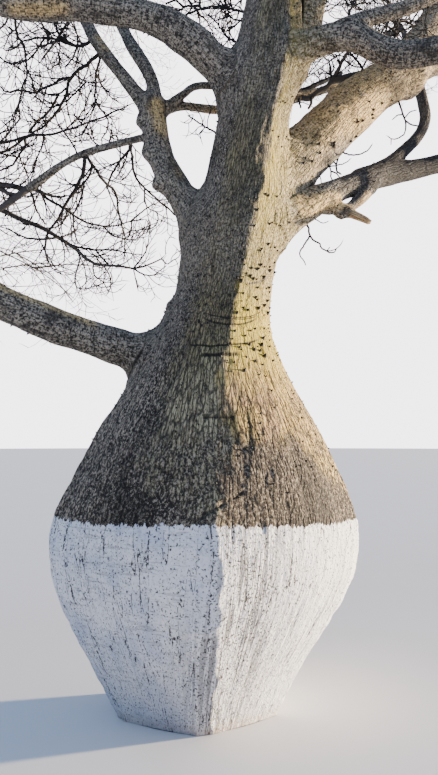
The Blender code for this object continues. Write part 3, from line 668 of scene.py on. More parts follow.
def makeWood(barkOfTrunk, barkOfBoughs):
    lines = [fineLine(name, number) for number, name in enumerate(limbs, 1)]
    points, faces = woodSkin(lines)
    print("wood skin:", len(points), "points")
    for _ in range(woodForm["settles"]):
        value, slope = woodField(points, lines)[:2]
        size = np.maximum((slope ** 2).sum(axis=1), 0.35)
        move = -(value / size)[:, None] * slope
        points = points + move * np.minimum(1, 0.03 / np.maximum(np.linalg.norm(move, axis=1), 1e-9))[:, None]
        points[:, 2] = np.maximum(points[:, 2], 0)
    grain, owner, trunkShare, crease, reach, trunkPlace, paintedSunShade = woodField(points, lines)[2:]
    height, cracked = barkHeight(points, grain, owner, crease, reach)
    crease = np.maximum(crease, cracked)
    # Painted sunlit patches add to the boughs' painted golden light
    for start, end, width, amount in paintedSunPatches:
        gap = np.linalg.norm(segmentGap(points, start, end), axis=1) / width
        paintedSunShade = paintedSunShade + amount * np.exp(-gap ** 2)
    normals = vertexNormals(points, faces)
    onGround = points[:, 2] < woodForm["cell"] * 0.6
    normals[onGround, 2] = 0
    torn, spikes = tornEnd(points, grain, owner, lines)
    points = points + normals * height[:, None] + spikes
    points[:, 2] = np.where(onGround, 0, np.maximum(points[:, 2], 0))
    normals = vertexNormals(points, faces)
    faceOwner = owner[faces].max(axis=1)
    pieces = []
    for number, node in enumerate(["trunk", *boughs]):
        chosen = faces[faceOwner == number]
        used, corners = np.unique(chosen, return_inverse=True)
        material = barkOfBoughs if number else barkOfTrunk
        piece = meshPiece("bark_of_" + node, points[used], corners.reshape(-1, 4), [material])
        mesh = piece.data
        mesh.normals_split_custom_set_from_vertices(normals[used].tolist())
        for name, values in (("grain", grain), ("trunkPlace", trunkPlace)):
            attribute = mesh.attributes.new(name, "FLOAT_VECTOR", "POINT")
            attribute.data.foreach_set("vector", values[used].astype(np.float32).ravel())
        shares = {"trunkShare": trunkShare, "crease": crease, "relief": height, "torn": torn, "paintedSunShade": paintedSunShade}
        for name, values in shares.items():
            mesh.attributes.new(name, "FLOAT", "POINT").data.foreach_set("value", values[used].astype(np.float32))
        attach(piece, "root")
        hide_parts(node)
        pieces.append(piece)
    print("wood: ", len(faces), "faces in", len(pieces), "pieces")
    return {"points": points, "normals": normals, "owner": owner, "grain": grain, "lines": lines,
            "reach": reach}


# Materials

def newMaterial(name):
    material = bpy.data.materials.new(name)
    material.use_nodes = True
    return material, material.node_tree, material.node_tree.nodes["Principled BSDF"]


def addNode(tree, kind, inputs=None, **settings):
    made = tree.nodes.new("ShaderNode" + kind)
    for key, value in settings.items():
        setattr(made, key, value)
    for key, value in (inputs or {}).items():
        socket = made.inputs[key]
        if isinstance(value, bpy.types.NodeSocket):
            tree.links.new(value, socket)
        else:
            socket.default_value = value
    return made


def pattern(tree, vector, scale, detail=2.0, rough=0.5, shift=0.0):
    placed = addNode(tree, "Mapping", {"Vector": vector, "Scale": scale, "Location": (shift, 0, 0)})
    return addNode(tree, "TexNoise", {"Vector": placed.outputs[0], "Scale": 1.0, "Detail": detail,
                                      "Roughness": rough}).outputs["Fac"]


def span(tree, value, low, high):
    return addNode(tree, "MapRange", {"Value": value, "From Min": low, "From Max": high},
                   interpolation_type="SMOOTHSTEP").outputs[0]


def maths(tree, operation, first, second=0.0):
    return addNode(tree, "Math", {0: first, 1: second}, operation=operation).outputs[0]


def mixed(tree, share, first, second, blend="MIX"):
    made = addNode(tree, "Mix", data_type="RGBA", blend_type=blend)
    for index, value in ((0, share), (6, first), (7, second)):
        if isinstance(value, bpy.types.NodeSocket):
            tree.links.new(value, made.inputs[index])
        elif index:
            made.inputs[index].default_value = (*value, 1.0)
        else:
            made.inputs[index].default_value = value
    return made.outputs[2]


# Bark colours; the sunny-side and golden bough colours stand partly for sunlight, and the shade-side, slate, dark
# green and grime colours partly for shade, while the limewash's shade, low and groove colours are painted shade
barkColours = {
    "khaki": (0.40, 0.340, 0.155), "olive": (0.220, 0.195, 0.085), "umber": (0.215, 0.160, 0.086),
    "tan": (0.56, 0.470, 0.270), "edgeShadeGreen": (0.042, 0.044, 0.014), "ash": (0.370, 0.300, 0.215),
    "grimeAndShadow": (0.036, 0.029, 0.022), "gold": (0.70, 0.475, 0.155), "rose": (0.50, 0.31, 0.175),
    "strip": (0.47, 0.370, 0.040), "shade": (0.100, 0.078, 0.056), "flake": (0.60, 0.485, 0.35),
    "paintedSunFlake": (0.72, 0.55, 0.24), "dark": (0.012, 0.010, 0.008),
    "boughGrey": (0.40, 0.350, 0.270), "boughDark": (0.038, 0.034, 0.029), "boughPale": (0.52, 0.45, 0.34),
    "paintedSunGold": (0.86, 0.60, 0.260), "paintedShadeSlate": (0.060, 0.058, 0.054),
    "fresh": (0.62, 0.46, 0.26), "freshDark": (0.20, 0.13, 0.07),
    "limewash": (0.88, 0.86, 0.85), "washShade": (0.54, 0.585, 0.68), "washGroove": (0.25, 0.24, 0.235),
    "washLow": (0.36, 0.38, 0.42),
}
paintLook = {
    "edge": ((-0.52, 1.140), (-0.10, 1.163), (0.51, 1.124)),     # its height from the left to the right
    "jagged": 0.075, "wavy": 0.030,
    "crackSpacing": 0.055, "specks": (0.605, 0.635),
}


def heightThrough(tree, across, threePoints):
    bend, slope, level = [float(value) for value in throughThree(*threePoints)]
    part = maths(tree, "ADD", maths(tree, "MULTIPLY", across, bend), slope)
    return maths(tree, "ADD", maths(tree, "MULTIPLY", part, across), level)


# Distance to the edges of long upright plates, which lie like a net of fissures
def fissureNet(tree, grain, width, stretch, wander, shift=0.0):
    bent = addNode(tree, "TexNoise", {"Vector": grain, "Scale": 0.45 / width, "Detail": 1.0}).outputs["Color"]
    offset = addNode(tree, "VectorMath", {0: bent, "Scale": wander}, operation="SCALE").outputs[0]
    moved = addNode(tree, "VectorMath", {0: grain, 1: offset}, operation="ADD").outputs[0]
    placed = addNode(tree, "Mapping", {"Vector": moved, "Location": (shift, 0, 0),
                                       "Scale": (1 / width, 1 / width, 1 / width / stretch)}).outputs[0]
    return addNode(tree, "TexVoronoi", {"Vector": placed, "Scale": 1.0},
                   feature="DISTANCE_TO_EDGE").outputs["Distance"]


def product(tree, *values):
    total = values[0]
    for value in values[1:]:
        total = maths(tree, "MULTIPLY", total, value)
    return total


def rising(tree, value, low, high, lowResult, highResult):
    return addNode(tree, "MapRange", {"Value": value, "From Min": low, "From Max": high,
                                      "To Min": lowResult, "To Max": highResult}).outputs[0]


def trunkColour(tree, grain, side, height, angle, shared):
    colours = barkColours
    wobble = pattern(tree, grain, (7, 7, 3.5), 3.0, 0.6, 2.6)
    drift = maths(tree, "MULTIPLY", maths(tree, "SUBTRACT", wobble, 0.5), 0.30)
    place = maths(tree, "ADD", side, drift)
    # Painted light: the shade side and the sunny side, whose borders follow where the sun's light ends on the trunk;
    # their colours are partly the bark's own and partly painted shade and painted sunlight
    border = rising(tree, height, 1.15, 1.42, 0.02, -0.24)
    shadeSide = span(tree, maths(tree, "SUBTRACT", place, border), 0.06, -0.10)
    sunBorder = maths(tree, "ADD", rising(tree, height, 1.75, 2.3, 0, 0.10), rising(tree, height, 2.7, 3.1, 0, 0.12))
    sunSide = span(tree, maths(tree, "SUBTRACT", place, sunBorder), 0.02, 0.10)
    ragged = maths(tree, "ADD", height, maths(tree, "MULTIPLY", drift, 0.8))
    # Dark band above the limewash: partly dirt, and on the sunny side mostly a painted shadow
    dirtAndShadowTop = rising(tree, side, 0.39, 0.53, 1.60, 1.27)
    nearPaint = span(tree, maths(tree, "SUBTRACT", ragged, dirtAndShadowTop), 0.06, -0.10)
    belly = span(tree, height, 2.15, 1.75)
    roughSide = maths(tree, "MAXIMUM", shadeSide, maths(tree, "MULTIPLY", nearPaint, 0.75))

    # Middle: olive and umber plates between fine fissures
    tone = mixed(tree, span(tree, shared["slow"], 0.40, 0.62), colours["umber"], colours["olive"])
    middle = mixed(tree, span(tree, shared["streaks"], 0.40, 0.66), tone, colours["khaki"])
    middle = mixed(tree, product(tree, belly, span(tree, shared["streaks"], 0.40, 0.52), 0.85), middle, colours["tan"])
    # Painted shade, dark green, on the neck beside the edge of the sunny side; the green is partly the bark's own
    edgeShade = product(tree, span(tree, height, 2.10, 2.45), span(tree, side, -0.16, 0.08), 0.75)
    middle = mixed(tree, edgeShade, middle, colours["edgeShadeGreen"])
    plates = product(tree, span(tree, shared["net"], 0.12, 0.30), span(tree, height, 1.9, 2.3), 0.18)
    middle = mixed(tree, plates, middle, colours["khaki"])
    # Sunny side: golden below with rosy patches, a smooth yellow-green strip above; partly the bark's own colour and
    # partly painted sunlight
    patches = pattern(tree, grain, (9, 9, 4), 3.0, 0.6, 6.6)
    gold = mixed(tree, span(tree, patches, 0.46, 0.62), colours["gold"], colours["rose"])
    sunny = mixed(tree, belly, colours["strip"], gold)
    sunny = mixed(tree, product(tree, span(tree, shared["streaks"], 0.50, 0.64), 0.40), sunny, colours["khaki"])
    sunny = mixed(tree, product(tree, span(tree, patches, 0.54, 0.66), 0.12), sunny, colours["umber"])
    colour = mixed(tree, sunSide, middle, sunny)
    # Shade side: ashen, partly the bark's own colour and partly painted shade, with a darker band of painted shade
    # beside the middle
    band = span(tree, maths(tree, "ABSOLUTE", maths(tree, "ADD", place, 0.30)), 0.10, 0.03)
    dim = maths(tree, "MAXIMUM", product(tree, band, 0.75), span(tree, shared["slow"], 0.52, 0.36))
    colour = mixed(tree, shadeSide, colour, mixed(tree, dim, colours["ash"], colours["shade"]))
    # Fissures: dark lines, partly the dark bark in them and partly painted shade in their grooves; fewer on the sunny
    # upper strip
    lines = maths(tree, "MAXIMUM", span(tree, shared["net"], 0.15, 0.05),
                  product(tree, span(tree, shared["fineNet"], 0.14, 0.02), 0.9))
    strength = rising(tree, maths(tree, "MULTIPLY", sunSide, span(tree, height, 1.7, 2.2)), 0, 1, 0.85, 0.12)
    colour = mixed(tree, product(tree, lines, strength), colour, colours["dark"])
    # Pale flakes and dark pits, thick on the rough side
    farSide = span(tree, place, 0.36, 0.50)
    rougher = maths(tree, "ADD", product(tree, maths(tree, "MAXIMUM", roughSide, farSide), 0.7), 0.30)
    flakes = product(tree, span(tree, shared["specks"], 0.535, 0.575), rougher)
    # Flakes on the sunny side are painted golden for sunlight
    flake = mixed(tree, sunSide, colours["flake"], colours["paintedSunFlake"])
    colour = mixed(tree, maths(tree, "MULTIPLY", flakes, 0.85), colour, flake)
    pits = product(tree, span(tree, shared["specks"], 0.475, 0.435), rougher)
    colour = mixed(tree, maths(tree, "MULTIPLY", pits, 0.95), colour, colours["dark"])
    dashes = pattern(tree, grain, (95, 95, 24), 1.5, 0.5, 5.2)
    fewer = rising(tree, height, 1.9, 1.3, 0.59, 0.51)
    dashed = product(tree, span(tree, maths(tree, "SUBTRACT", dashes, fewer), 0.0, 0.05),
                     maths(tree, "MAXIMUM", span(tree, height, 2.3, 1.9), 0.45), maths(tree, "MAXIMUM", sunSide, 0.45))
    colour = mixed(tree, maths(tree, "MULTIPLY", dashed, 0.85), colour, colours["dark"])
    # Dirt and painted shadow above the limewash, much stronger on the sunny side
    dirtAndShadow = product(tree, nearPaint, rising(tree, sunSide, 0, 1, 0.35, 0.95))
    return mixed(tree, dirtAndShadow, colour, mixed(tree, product(tree, flakes, 0.45), colours["grimeAndShadow"], colours["flake"]))


# Dark lines along the neck's wrinkles: partly dark bark and partly painted shade in their creases
def neckLines(tree, colour, height, angle, shared):
    wrinkles = None
    for start, middlePoint, end, _, width in neckWrinkles:
        level = heightThrough(tree, angle, (start, middlePoint, end))
        uneven = maths(tree, "MULTIPLY", maths(tree, "SUBTRACT", shared["slow"], 0.5), 0.015)
        gap = maths(tree, "ABSOLUTE", maths(tree, "SUBTRACT", maths(tree, "ADD", height, uneven), level))
        off = maths(tree, "ABSOLUTE", maths(tree, "SUBTRACT", angle, (start[0] + end[0]) / 2))
        line = product(tree, span(tree, gap, width, width * 0.25), span(tree, off, (end[0] - start[0]) * 0.52,
                                                                       (end[0] - start[0]) * 0.40))
        wrinkles = line if wrinkles is None else maths(tree, "MAXIMUM", wrinkles, line)
    broken = maths(tree, "ADD", 0.60, product(tree, span(tree, shared["streaks"], 0.30, 0.50), 0.35))
    return mixed(tree, product(tree, wrinkles, broken), colour, barkColours["dark"])


def boughColour(tree, grain, paintedSunShade, shared):
    colours = barkColours
    wrinkles = pattern(tree, grain, (40, 40, 115), 3.0, 0.7, 2.2)
    rough = pattern(tree, grain, (115, 115, 60), 3.0, 0.75, 4.9)
    patches = pattern(tree, grain, (16, 16, 8), 3.0, 0.6, 7.7)
    both = maths(tree, "ADD", product(tree, maths(tree, "ADD", wrinkles, rough), 0.5), product(tree, paintedSunShade, 0.028))
    # Painted light: golden bark for sunlight on boughs marked above 0, with fewer dark patches, and slate grey for
    # shade on boughs marked below 0
    plain = mixed(tree, span(tree, paintedSunShade, 0.0, 1.0), colours["boughGrey"], colours["paintedSunGold"])
    plain = mixed(tree, span(tree, paintedSunShade, 0.0, -1.0), plain, colours["paintedShadeSlate"])
    colour = mixed(tree, span(tree, both, 0.445, 0.545), colours["boughDark"], plain)
    colour = mixed(tree, product(tree, span(tree, patches, 0.48, 0.66), span(tree, rough, 0.48, 0.62),
                                 span(tree, paintedSunShade, -1.0, 0.0), 0.75), colour, colours["boughPale"])
    colour = mixed(tree, product(tree, span(tree, patches, 0.47, 0.36), span(tree, paintedSunShade, 1.3, 0.2), 0.7),
                   colour, colours["boughDark"])
    # Dark fissure lines, partly the dark bark in them and partly painted shade in their grooves
    colour = mixed(tree, product(tree, span(tree, shared["net"], 0.10, 0.0), 0.5), colour, colours["dark"])
    return mixed(tree, product(tree, span(tree, shared["specks"], 0.46, 0.39), 0.9), colour, colours["dark"])


# The limewash, its cracks and pits, and where it is
def limewash(tree, grain, side, height, shared):
    colours = barkColours
    look = paintLook
    jagged = pattern(tree, grain, (80, 80, 13), 2.0, 0.6, 8.8)
    wavy = pattern(tree, grain, (16, 16, 3), 2.0, 0.6, 3.8)
    edge = maths(tree, "ADD", height, maths(tree, "MULTIPLY", maths(tree, "SUBTRACT", jagged, 0.5), look["jagged"]))
    edge = maths(tree, "ADD", edge, maths(tree, "MULTIPLY", maths(tree, "SUBTRACT", wavy, 0.5), look["wavy"]))
    wash = maths(tree, "LESS_THAN", edge, heightThrough(tree, side, look["edge"]))

    # Bluish painted shade on the limewash, in blotches, strongest on the left side
    blotches = pattern(tree, grain, (5, 5, 3.5), 3.0, 0.6, 1.9)
    left = span(tree, side, 0.10, -0.10)
    white = mixed(tree, product(tree, span(tree, blotches, 0.40, 0.68), maths(tree, "ADD", product(tree, left, 0.6), 0.2)),
                  colours["limewash"], colours["washShade"])
    # Grey grooves and crumbs: painted shade in the limewash's relief, thickest about the front ridge
    strokes = pattern(tree, grain, (70, 70, 2.4), 2.0, 0.6, 4.4)
    ledges = pattern(tree, grain, (9, 9, 62), 2.0, 0.6, 7.4)
    grooves = maths(tree, "MAXIMUM", product(tree, span(tree, strokes, 0.56, 0.68), rising(tree, left, 0, 1, 0.45, 0.16)),
                    product(tree, span(tree, ledges, 0.57, 0.66), left, 0.40))
    ridgeWide = rising(tree, height, 0.85, 0.45, 0.17, 0.34)
    ridge = span(tree, maths(tree, "ABSOLUTE", maths(tree, "SUBTRACT", side, 0.13)), ridgeWide, 0.02)
    grooves = maths(tree, "MAXIMUM", grooves, product(tree, span(tree, strokes, 0.46, 0.58), ridge, 0.9))
    white = mixed(tree, grooves, white, colours["washGroove"])
    crumbs = pattern(tree, grain, (75, 75, 48), 3.0, 0.75, 5.8)
    white = mixed(tree, product(tree, span(tree, crumbs, 0.52, 0.62), maths(tree, "ADD", product(tree, ridge, 0.35), 0.30)),
                  white, colours["washGroove"])
    # Painted shade low on the left of the limewash
    lowShade = product(tree, left, span(tree, height, 0.60, 0.05), 0.55)
    white = mixed(tree, lowShade, white, colours["washLow"])
    routes = pattern(tree, grain, (1 / look["crackSpacing"], 1 / look["crackSpacing"], 1.1), 2.0, 0.5, 4.7)
    offRoute = maths(tree, "ABSOLUTE", maths(tree, "SUBTRACT", routes, 0.5))
    broken = pattern(tree, grain, (95, 95, 48), 3.0, 0.7, 9.6)
    cracks = product(tree, span(tree, offRoute, 0.010, 0.005), span(tree, broken, 0.48, 0.51))
    pits = pattern(tree, grain, (135, 135, 85), 2.0, 0.6, 6.1)
    bare = maths(tree, "MAXIMUM", cracks, span(tree, pits, *look["specks"]))
    dots = span(tree, pits, 0.56, 0.60)
    bare = maths(tree, "MAXIMUM", bare, product(tree, dots, ridge, 0.9))
    white = mixed(tree, maths(tree, "MULTIPLY", bare, 0.95), white, (0.040, 0.034, 0.030))
    white = mixed(tree, product(tree, span(tree, height, 0.10, 0.0), 0.4), white, (0.45, 0.33, 0.24))
    bumps = maths(tree, "SUBTRACT", product(tree, maths(tree, "ADD", strokes, crumbs), 1.6),
                  maths(tree, "ADD", bare, grooves))
    return wash, white, bumps


def barkMaterial(name, painted):
    material, tree, shader = newMaterial(name)
    grain = addNode(tree, "Attribute", attribute_name="grain").outputs["Vector"]
    trunkShare = addNode(tree, "Attribute", attribute_name="trunkShare").outputs["Fac"]
    crease = addNode(tree, "Attribute", attribute_name="crease").outputs["Fac"]
    relief = addNode(tree, "Attribute", attribute_name="relief").outputs["Fac"]
    trunkPlace = addNode(tree, "Attribute", attribute_name="trunkPlace").outputs["Vector"]
    parts = addNode(tree, "SeparateXYZ", {"Vector": trunkPlace})
    side, height = parts.outputs[0], parts.outputs[2]
    front = maths(tree, "MULTIPLY", parts.outputs[1], -1.0)
    angle = maths(tree, "MULTIPLY", maths(tree, "ARCTAN2", side, front), 180 / math.pi)
    shared = {
        "slow": pattern(tree, grain, (3.5, 3.5, 1.6), 3.0),
        "streaks": pattern(tree, grain, (85, 85, 4.5), 3.0, 0.6, 3.1),
        "specks": pattern(tree, grain, (120, 120, 66), 4.0, 0.8, 1.3),
        "net": fissureNet(tree, grain, 0.022, 6.0, 0.014),
        "fineNet": fissureNet(tree, grain, 0.010, 5.0, 0.006, 2.3),
    }
    paintedSunShade = addNode(tree, "Attribute", attribute_name="paintedSunShade").outputs["Fac"]
    colour = boughColour(tree, grain, paintedSunShade, shared)
    bumps = maths(tree, "SUBTRACT", shared["specks"], span(tree, shared["net"], 0.2, 0.0))
    bark = trunkColour(tree, grain, side, height, angle, shared)
    if painted:
        bark = neckLines(tree, bark, height, angle, shared)
    colour = mixed(tree, trunkShare, colour, bark)
    # Painted shade in the creases of the forks and in the cracks
    colour = mixed(tree, product(tree, crease, 0.8), colour, barkColours["dark"])
    # Painted shade where the bark's relief sinks in
    colour = mixed(tree, product(tree, span(tree, relief, -0.006, -0.018), 0.6), colour, barkColours["dark"])
    if not painted:
        torn = addNode(tree, "Attribute", attribute_name="torn").outputs["Fac"]
        fibres = pattern(tree, grain, (160, 160, 9), 2.0, 0.6, 2.9)
        fresh = mixed(tree, span(tree, fibres, 0.42, 0.60), barkColours["freshDark"], barkColours["fresh"])
        colour = mixed(tree, span(tree, torn, 0.45, 0.60), colour, fresh)
    if painted:
        wash, white, washBumps = limewash(tree, grain, side, height, shared)
        colour = mixed(tree, wash, colour, white)
        bumps = addNode(tree, "Mix", {0: wash, 2: bumps, 3: washBumps}).outputs[0]
    tree.links.new(colour, shader.inputs["Base Color"])
    tree.links.new(rising(tree, shared["specks"], 0.35, 0.65, 0.95, 0.75), shader.inputs["Roughness"])
    bump = addNode(tree, "Bump", {"Strength": 0.8, "Distance": 0.006, "Height": bumps})
    tree.links.new(bump.outputs[0], shader.inputs["Normal"])
    shader.inputs["Specular IOR Level"].default_value = 0.25
    return material


def twigMaterial(name, colour, roughness):
    material, tree, shader = newMaterial(name)
    shader.inputs["Base Color"].default_value = (*colour, 1.0)
    place = addNode(tree, "TexCoord").outputs["Object"]
    fine = pattern(tree, place, (130, 130, 130), 2.0)
    tree.links.new(addNode(tree, "MapRange", {"Value": fine, "To Min": roughness - 0.12,
                                              "To Max": roughness + 0.1}).outputs[0],
                   shader.inputs["Roughness"])
    bump = addNode(tree, "Bump", {"Strength": 0.4, "Distance": 0.002, "Height": fine})
    tree.links.new(bump.outputs[0], shader.inputs["Normal"])
    shader.inputs["Specular IOR Level"].default_value = 0.25
    return material


# Twigs: the first ones by the rule of the solids

stemRule = {"reach": 0.95, "segments": 4, "turn": 0.30, "aimAbove": 0.30, "bend": 0.08,
            "start": 0.92, "tip": 0.41, "gap": 0.0003, "seed": 100}
firstLevels = (
    {"count": 5, "reach": 0.85, "segments": 3, "first": 0.30, "radius": 0.66},
    {"count": 3, "reach": 0.60, "segments": 2, "first": 0.32, "radius": 0.62},
)
firstTwigs = {
    "spread": (0.50, 1.05), "lengths": (0.85, 1.10), "bend": 0.16, "lift": 0.10, "droop": -0.22,
    "taper": 0.50, "thinnest": 0.007, "candidates": 7, "jitter": (0.3, 0.7), "limbRoom": 0.030,
    "twigRoom": 0.018, "rootSkipped": 0.12, "sampleStep": 0.06, "spaceMargin": 0.03, "seed": 200,
}


class Obstacles:
    def __init__(self):
        self.starts = np.zeros((0, 3))
        self.ends = np.zeros((0, 3))
        self.radii = np.zeros(0)
        self.owners = []

    def add(self, points, radii, owner):
        line = np.array(points)
        self.starts = np.vstack((self.starts, line[:-1]))
        self.ends = np.vstack((self.ends, line[1:]))
        self.radii = np.concatenate((self.radii, np.maximum(radii[:-1], radii[1:])))
        self.owners += [owner] * (len(points) - 1)

    def room(self, samples, ignored=None):
        keep = np.array([owner != ignored for owner in self.owners])
        if not keep.any():
            return math.inf
        starts, ends, radii = self.starts[keep], self.ends[keep], self.radii[keep]
        along = ends - starts
        offset = samples[:, None, :] - starts[None]
        share = np.clip((offset * along).sum(axis=2) / (along ** 2).sum(axis=1), 0, 1)
        nearest = offset - share[..., None] * along
        return float((np.linalg.norm(nearest, axis=2) - radii).min())


def samplesAlong(points, skipped):
    samples = []
    travelled = 0.0
    for start, end in zip(points, points[1:]):
        length = (end - start).length
        steps = max(1, math.ceil(length / firstTwigs["sampleStep"]))
        for step in range(1, steps + 1):
            if travelled + length * step / steps >= skipped:
                samples.append(start.lerp(end, step / steps))
        travelled += length
    return np.array(samples or [points[-1]])


def spaceScore(points, name):
    _, centre, reach = masses[name]
    return np.linalg.norm(points - np.array(centre), axis=1) / reach


def insideSpace(points, name):
    own = spaceScore(points, name)
    if own.max() > 1:
        return False
    return all((own + firstTwigs["spaceMargin"] < spaceScore(points, other)).all()
               for other in masses if other != name)


def wander(rng):
    return Vector((rng.uniform(-1, 1), rng.uniform(-1, 1), rng.uniform(-1, 1)))


def twigLine(rng, start, direction, length, segments, lift):
    points = [start]
    for _ in range(segments):
        points.append(points[-1] + direction * (length / segments))
        direction = (direction + wander(rng) * firstTwigs["bend"] + Vector((0, 0, lift))).normalized()
    return points


def stemLine(rng, name, start, direction):
    _, centre, reach = masses[name]
    goal = Vector(centre) + Vector((0, 0, stemRule["aimAbove"] * reach))
    step = stemRule["reach"] * reach / stemRule["segments"]
    points = [start]
    for _ in range(stemRule["segments"]):
        points.append(points[-1] + direction * step)
        toMiddle = (goal - points[-1]).normalized()
        direction = (direction + toMiddle * stemRule["turn"] + wander(rng) * stemRule["bend"]).normalized()
    return points


def pointOn(points, radii, share):
    whole = share * (len(points) - 1)
    index = min(int(whole), len(points) - 2)
    inner = whole - index
    place = points[index].lerp(points[index + 1], inner)
    direction = (points[index + 1] - points[index]).normalized()
    return place, direction, radii[index] + (radii[index + 1] - radii[index]) * inner


def bestTwig(rng, name, parent, share, level, limbs, own, tips):
    place, along, radius = pointOn(parent["points"], parent["radii"], share)
    lift = firstTwigs["droop"] if name in hangingMasses else firstTwigs["lift"]
    sideAxis = along.orthogonal().normalized()
    best, bestRoom = None, 0.0
    for _ in range(firstTwigs["candidates"]):
        around = Matrix.Rotation(rng.uniform(0, 2 * math.pi), 3, along)
        away = Matrix.Rotation(rng.uniform(*firstTwigs["spread"]), 3, around @ sideAxis)
        length = level["reach"] * masses[name][2] * rng.uniform(*firstTwigs["lengths"])
        points = twigLine(rng, place, away @ along, length, level["segments"], lift)
        samples = samplesAlong(points, radius * 2)
        if not insideSpace(samples, name):
            continue
        if limbs.room(samples, name) < firstTwigs["limbRoom"] + radius:
            continue
        later = samplesAlong(points, firstTwigs["rootSkipped"])
        if own.room(later, parent["id"]) < firstTwigs["twigRoom"] + radius / 2:
            continue
        freedom = min((points[-1] - tip).length for tip in tips)
        if freedom > bestRoom:
            best, bestRoom = points, freedom
    if best is None:
        return None
    startRadius = max(radius * level["radius"], firstTwigs["thinnest"])
    radii = [startRadius * (1 - firstTwigs["taper"] * index / level["segments"]) for index in range(len(best))]
    return {"points": best, "radii": radii, "id": f"{parent['id']}_{share:.2f}"}


def growMass(name, seed, stem, limbs):
    rng = random.Random(seed)
    own = Obstacles()
    own.add(stem["points"], stem["radii"], stem["id"])
    tips = [stem["points"][-1]]
    levels = [[stem]]
    for level in firstLevels:
        children = []
        for parent in levels[-1]:
            for number in range(level["count"]):
                place = (number + rng.uniform(*firstTwigs["jitter"])) / level["count"]
                share = level["first"] + (1 - level["first"]) * place
                twig = bestTwig(rng, name, parent, share, level, limbs, own, tips)
                if twig:
                    own.add(twig["points"], twig["radii"], twig["id"])
                    tips.append(twig["points"][-1])
                    children.append(twig)
        levels.append(children)
    return levels


def growFirstTwigs():
    shapes = {name: boughShape(name) for name in boughs}
    limbs = Obstacles()
    for name, (points, radii) in shapes.items():
        limbs.add(points, radii, name)
    limbs.add([Vector((row[1], 0, row[0])) for row in trunkForm["stations"]],
              [row[2] for row in trunkForm["stations"]], "trunk")
    stems = {}
    for number, (name, (bough, _, _)) in enumerate(masses.items()):
        points, radii = shapes[bough]
        direction = (points[-1] - points[-2]).normalized()
        start = points[-1] + direction * stemRule["gap"]
        line = stemLine(random.Random(stemRule["seed"] + number), name, start, direction)
        loss = (stemRule["start"] - stemRule["tip"]) / stemRule["segments"]
        stemRadii = [radii[-1] * (stemRule["start"] - loss * index) for index in range(len(line))]
        stems[name] = {"points": line, "radii": stemRadii, "id": "stem"}
    for name, stem in stems.items():
        limbs.add(stem["points"], stem["radii"], name)
    grown = [growMass(name, firstTwigs["seed"] + number, stems[name], limbs)
             for number, name in enumerate(masses)]
    levels = []
    for depth in range(3):
        twigs = [(twig, number) for number, mass in enumerate(grown) for twig in mass[depth]]
        levels.append({
            "points": np.array([twig["points"] for twig, _ in twigs]),
            "radii": np.array([twig["radii"] for twig, _ in twigs]),
            "mass": np.array([number for _, number in twigs])})
    return levels


# Finer twigs, many at once, inside the same spaces

finerLevels = (
    {"count": 7, "length": 0.62, "steps": 5, "first": 0.16, "radius": 0.60, "sides": 3,
     "spread": (0.60, 1.10), "lift": 0.10, "curl": 0.22, "jitter": 0.05},
    {"count": 6, "length": 0.34, "steps": 4, "first": 0.14, "radius": 0.70, "sides": 3,
     "spread": (0.55, 1.05), "lift": 0.12, "curl": 0.26, "jitter": 0.06},
    {"count": 3, "length": 0.15, "steps": 2, "first": 0.25, "radius": 0.80, "sides": 3,
     "spread": (0.60, 1.10), "lift": 0.16, "curl": 0.25, "jitter": 0.05},
)
finerTwigs = {
    "seed": 900, "thinnest": 0.0028, "tip": 0.62, "droop": -0.06, "clear": 0.020, "rooted": 0.06,
    "sparse": {"crossing_twigs": 0.03, "drooping_twigs": 0.6},      # share of the finer twigs that a mass keeps
    "clearSky": ((296, 112, 438, 330), (165, 112, 216, 190)),       # left, top, right and bottom in the photo
}


def smoothLines(lines, radii, steps):
    before = np.concatenate((2 * lines[:, :1] - lines[:, 1:2], lines, 2 * lines[:, -1:] - lines[:, -2:-1]), axis=1)
    a, b, c, d = before[:, :-3], before[:, 1:-2], before[:, 2:-1], before[:, 3:]
    fine, fineRadii = [], []
    for step in range(steps):
        t = step / steps
        fine.append(0.5 * (2 * b + (c - a) * t + (2 * a - 5 * b + 4 * c - d) * t ** 2
                           + (3 * b - a - 3 * c + d) * t ** 3))
        fineRadii.append(radii[:, :-1] + np.diff(radii, axis=1) * t)
    count = len(lines)
    fine = np.stack(fine, axis=2).reshape(count, -1, 3)
    fineRadii = np.stack(fineRadii, axis=2).reshape(count, -1)
    return np.concatenate((fine, lines[:, -1:]), axis=1), np.concatenate((fineRadii, radii[:, -1:]), axis=1)


def roomToWood(points, lines):
    room = np.where(points[:, 2] < trunkForm["stations"][-1][0], trunkField(points)[0], 1.0)
    for line in lines:
        low = line["points"].min(axis=0) - 0.25
        high = line["points"].max(axis=0) + 0.25
        near = np.flatnonzero(((points > low) & (points < high)).all(axis=1))
        for start in range(0, len(near), 8000):
            some = near[start:start + 8000]
            room[some] = np.minimum(room[some], boughField(line, points[some])[0])
    return room


# Whether any point of a line stands where the photo shows clear sky
def inClearSky(points):
    x, y = seenPixels(points.reshape(-1, 3)).reshape(2, len(points), -1)
    found = np.zeros(len(points), bool)
    for left, top, right, bottom in finerTwigs["clearSky"]:
        found |= ((x > left) & (x < right) & (y > top) & (y < bottom)).any(axis=1)
    return found


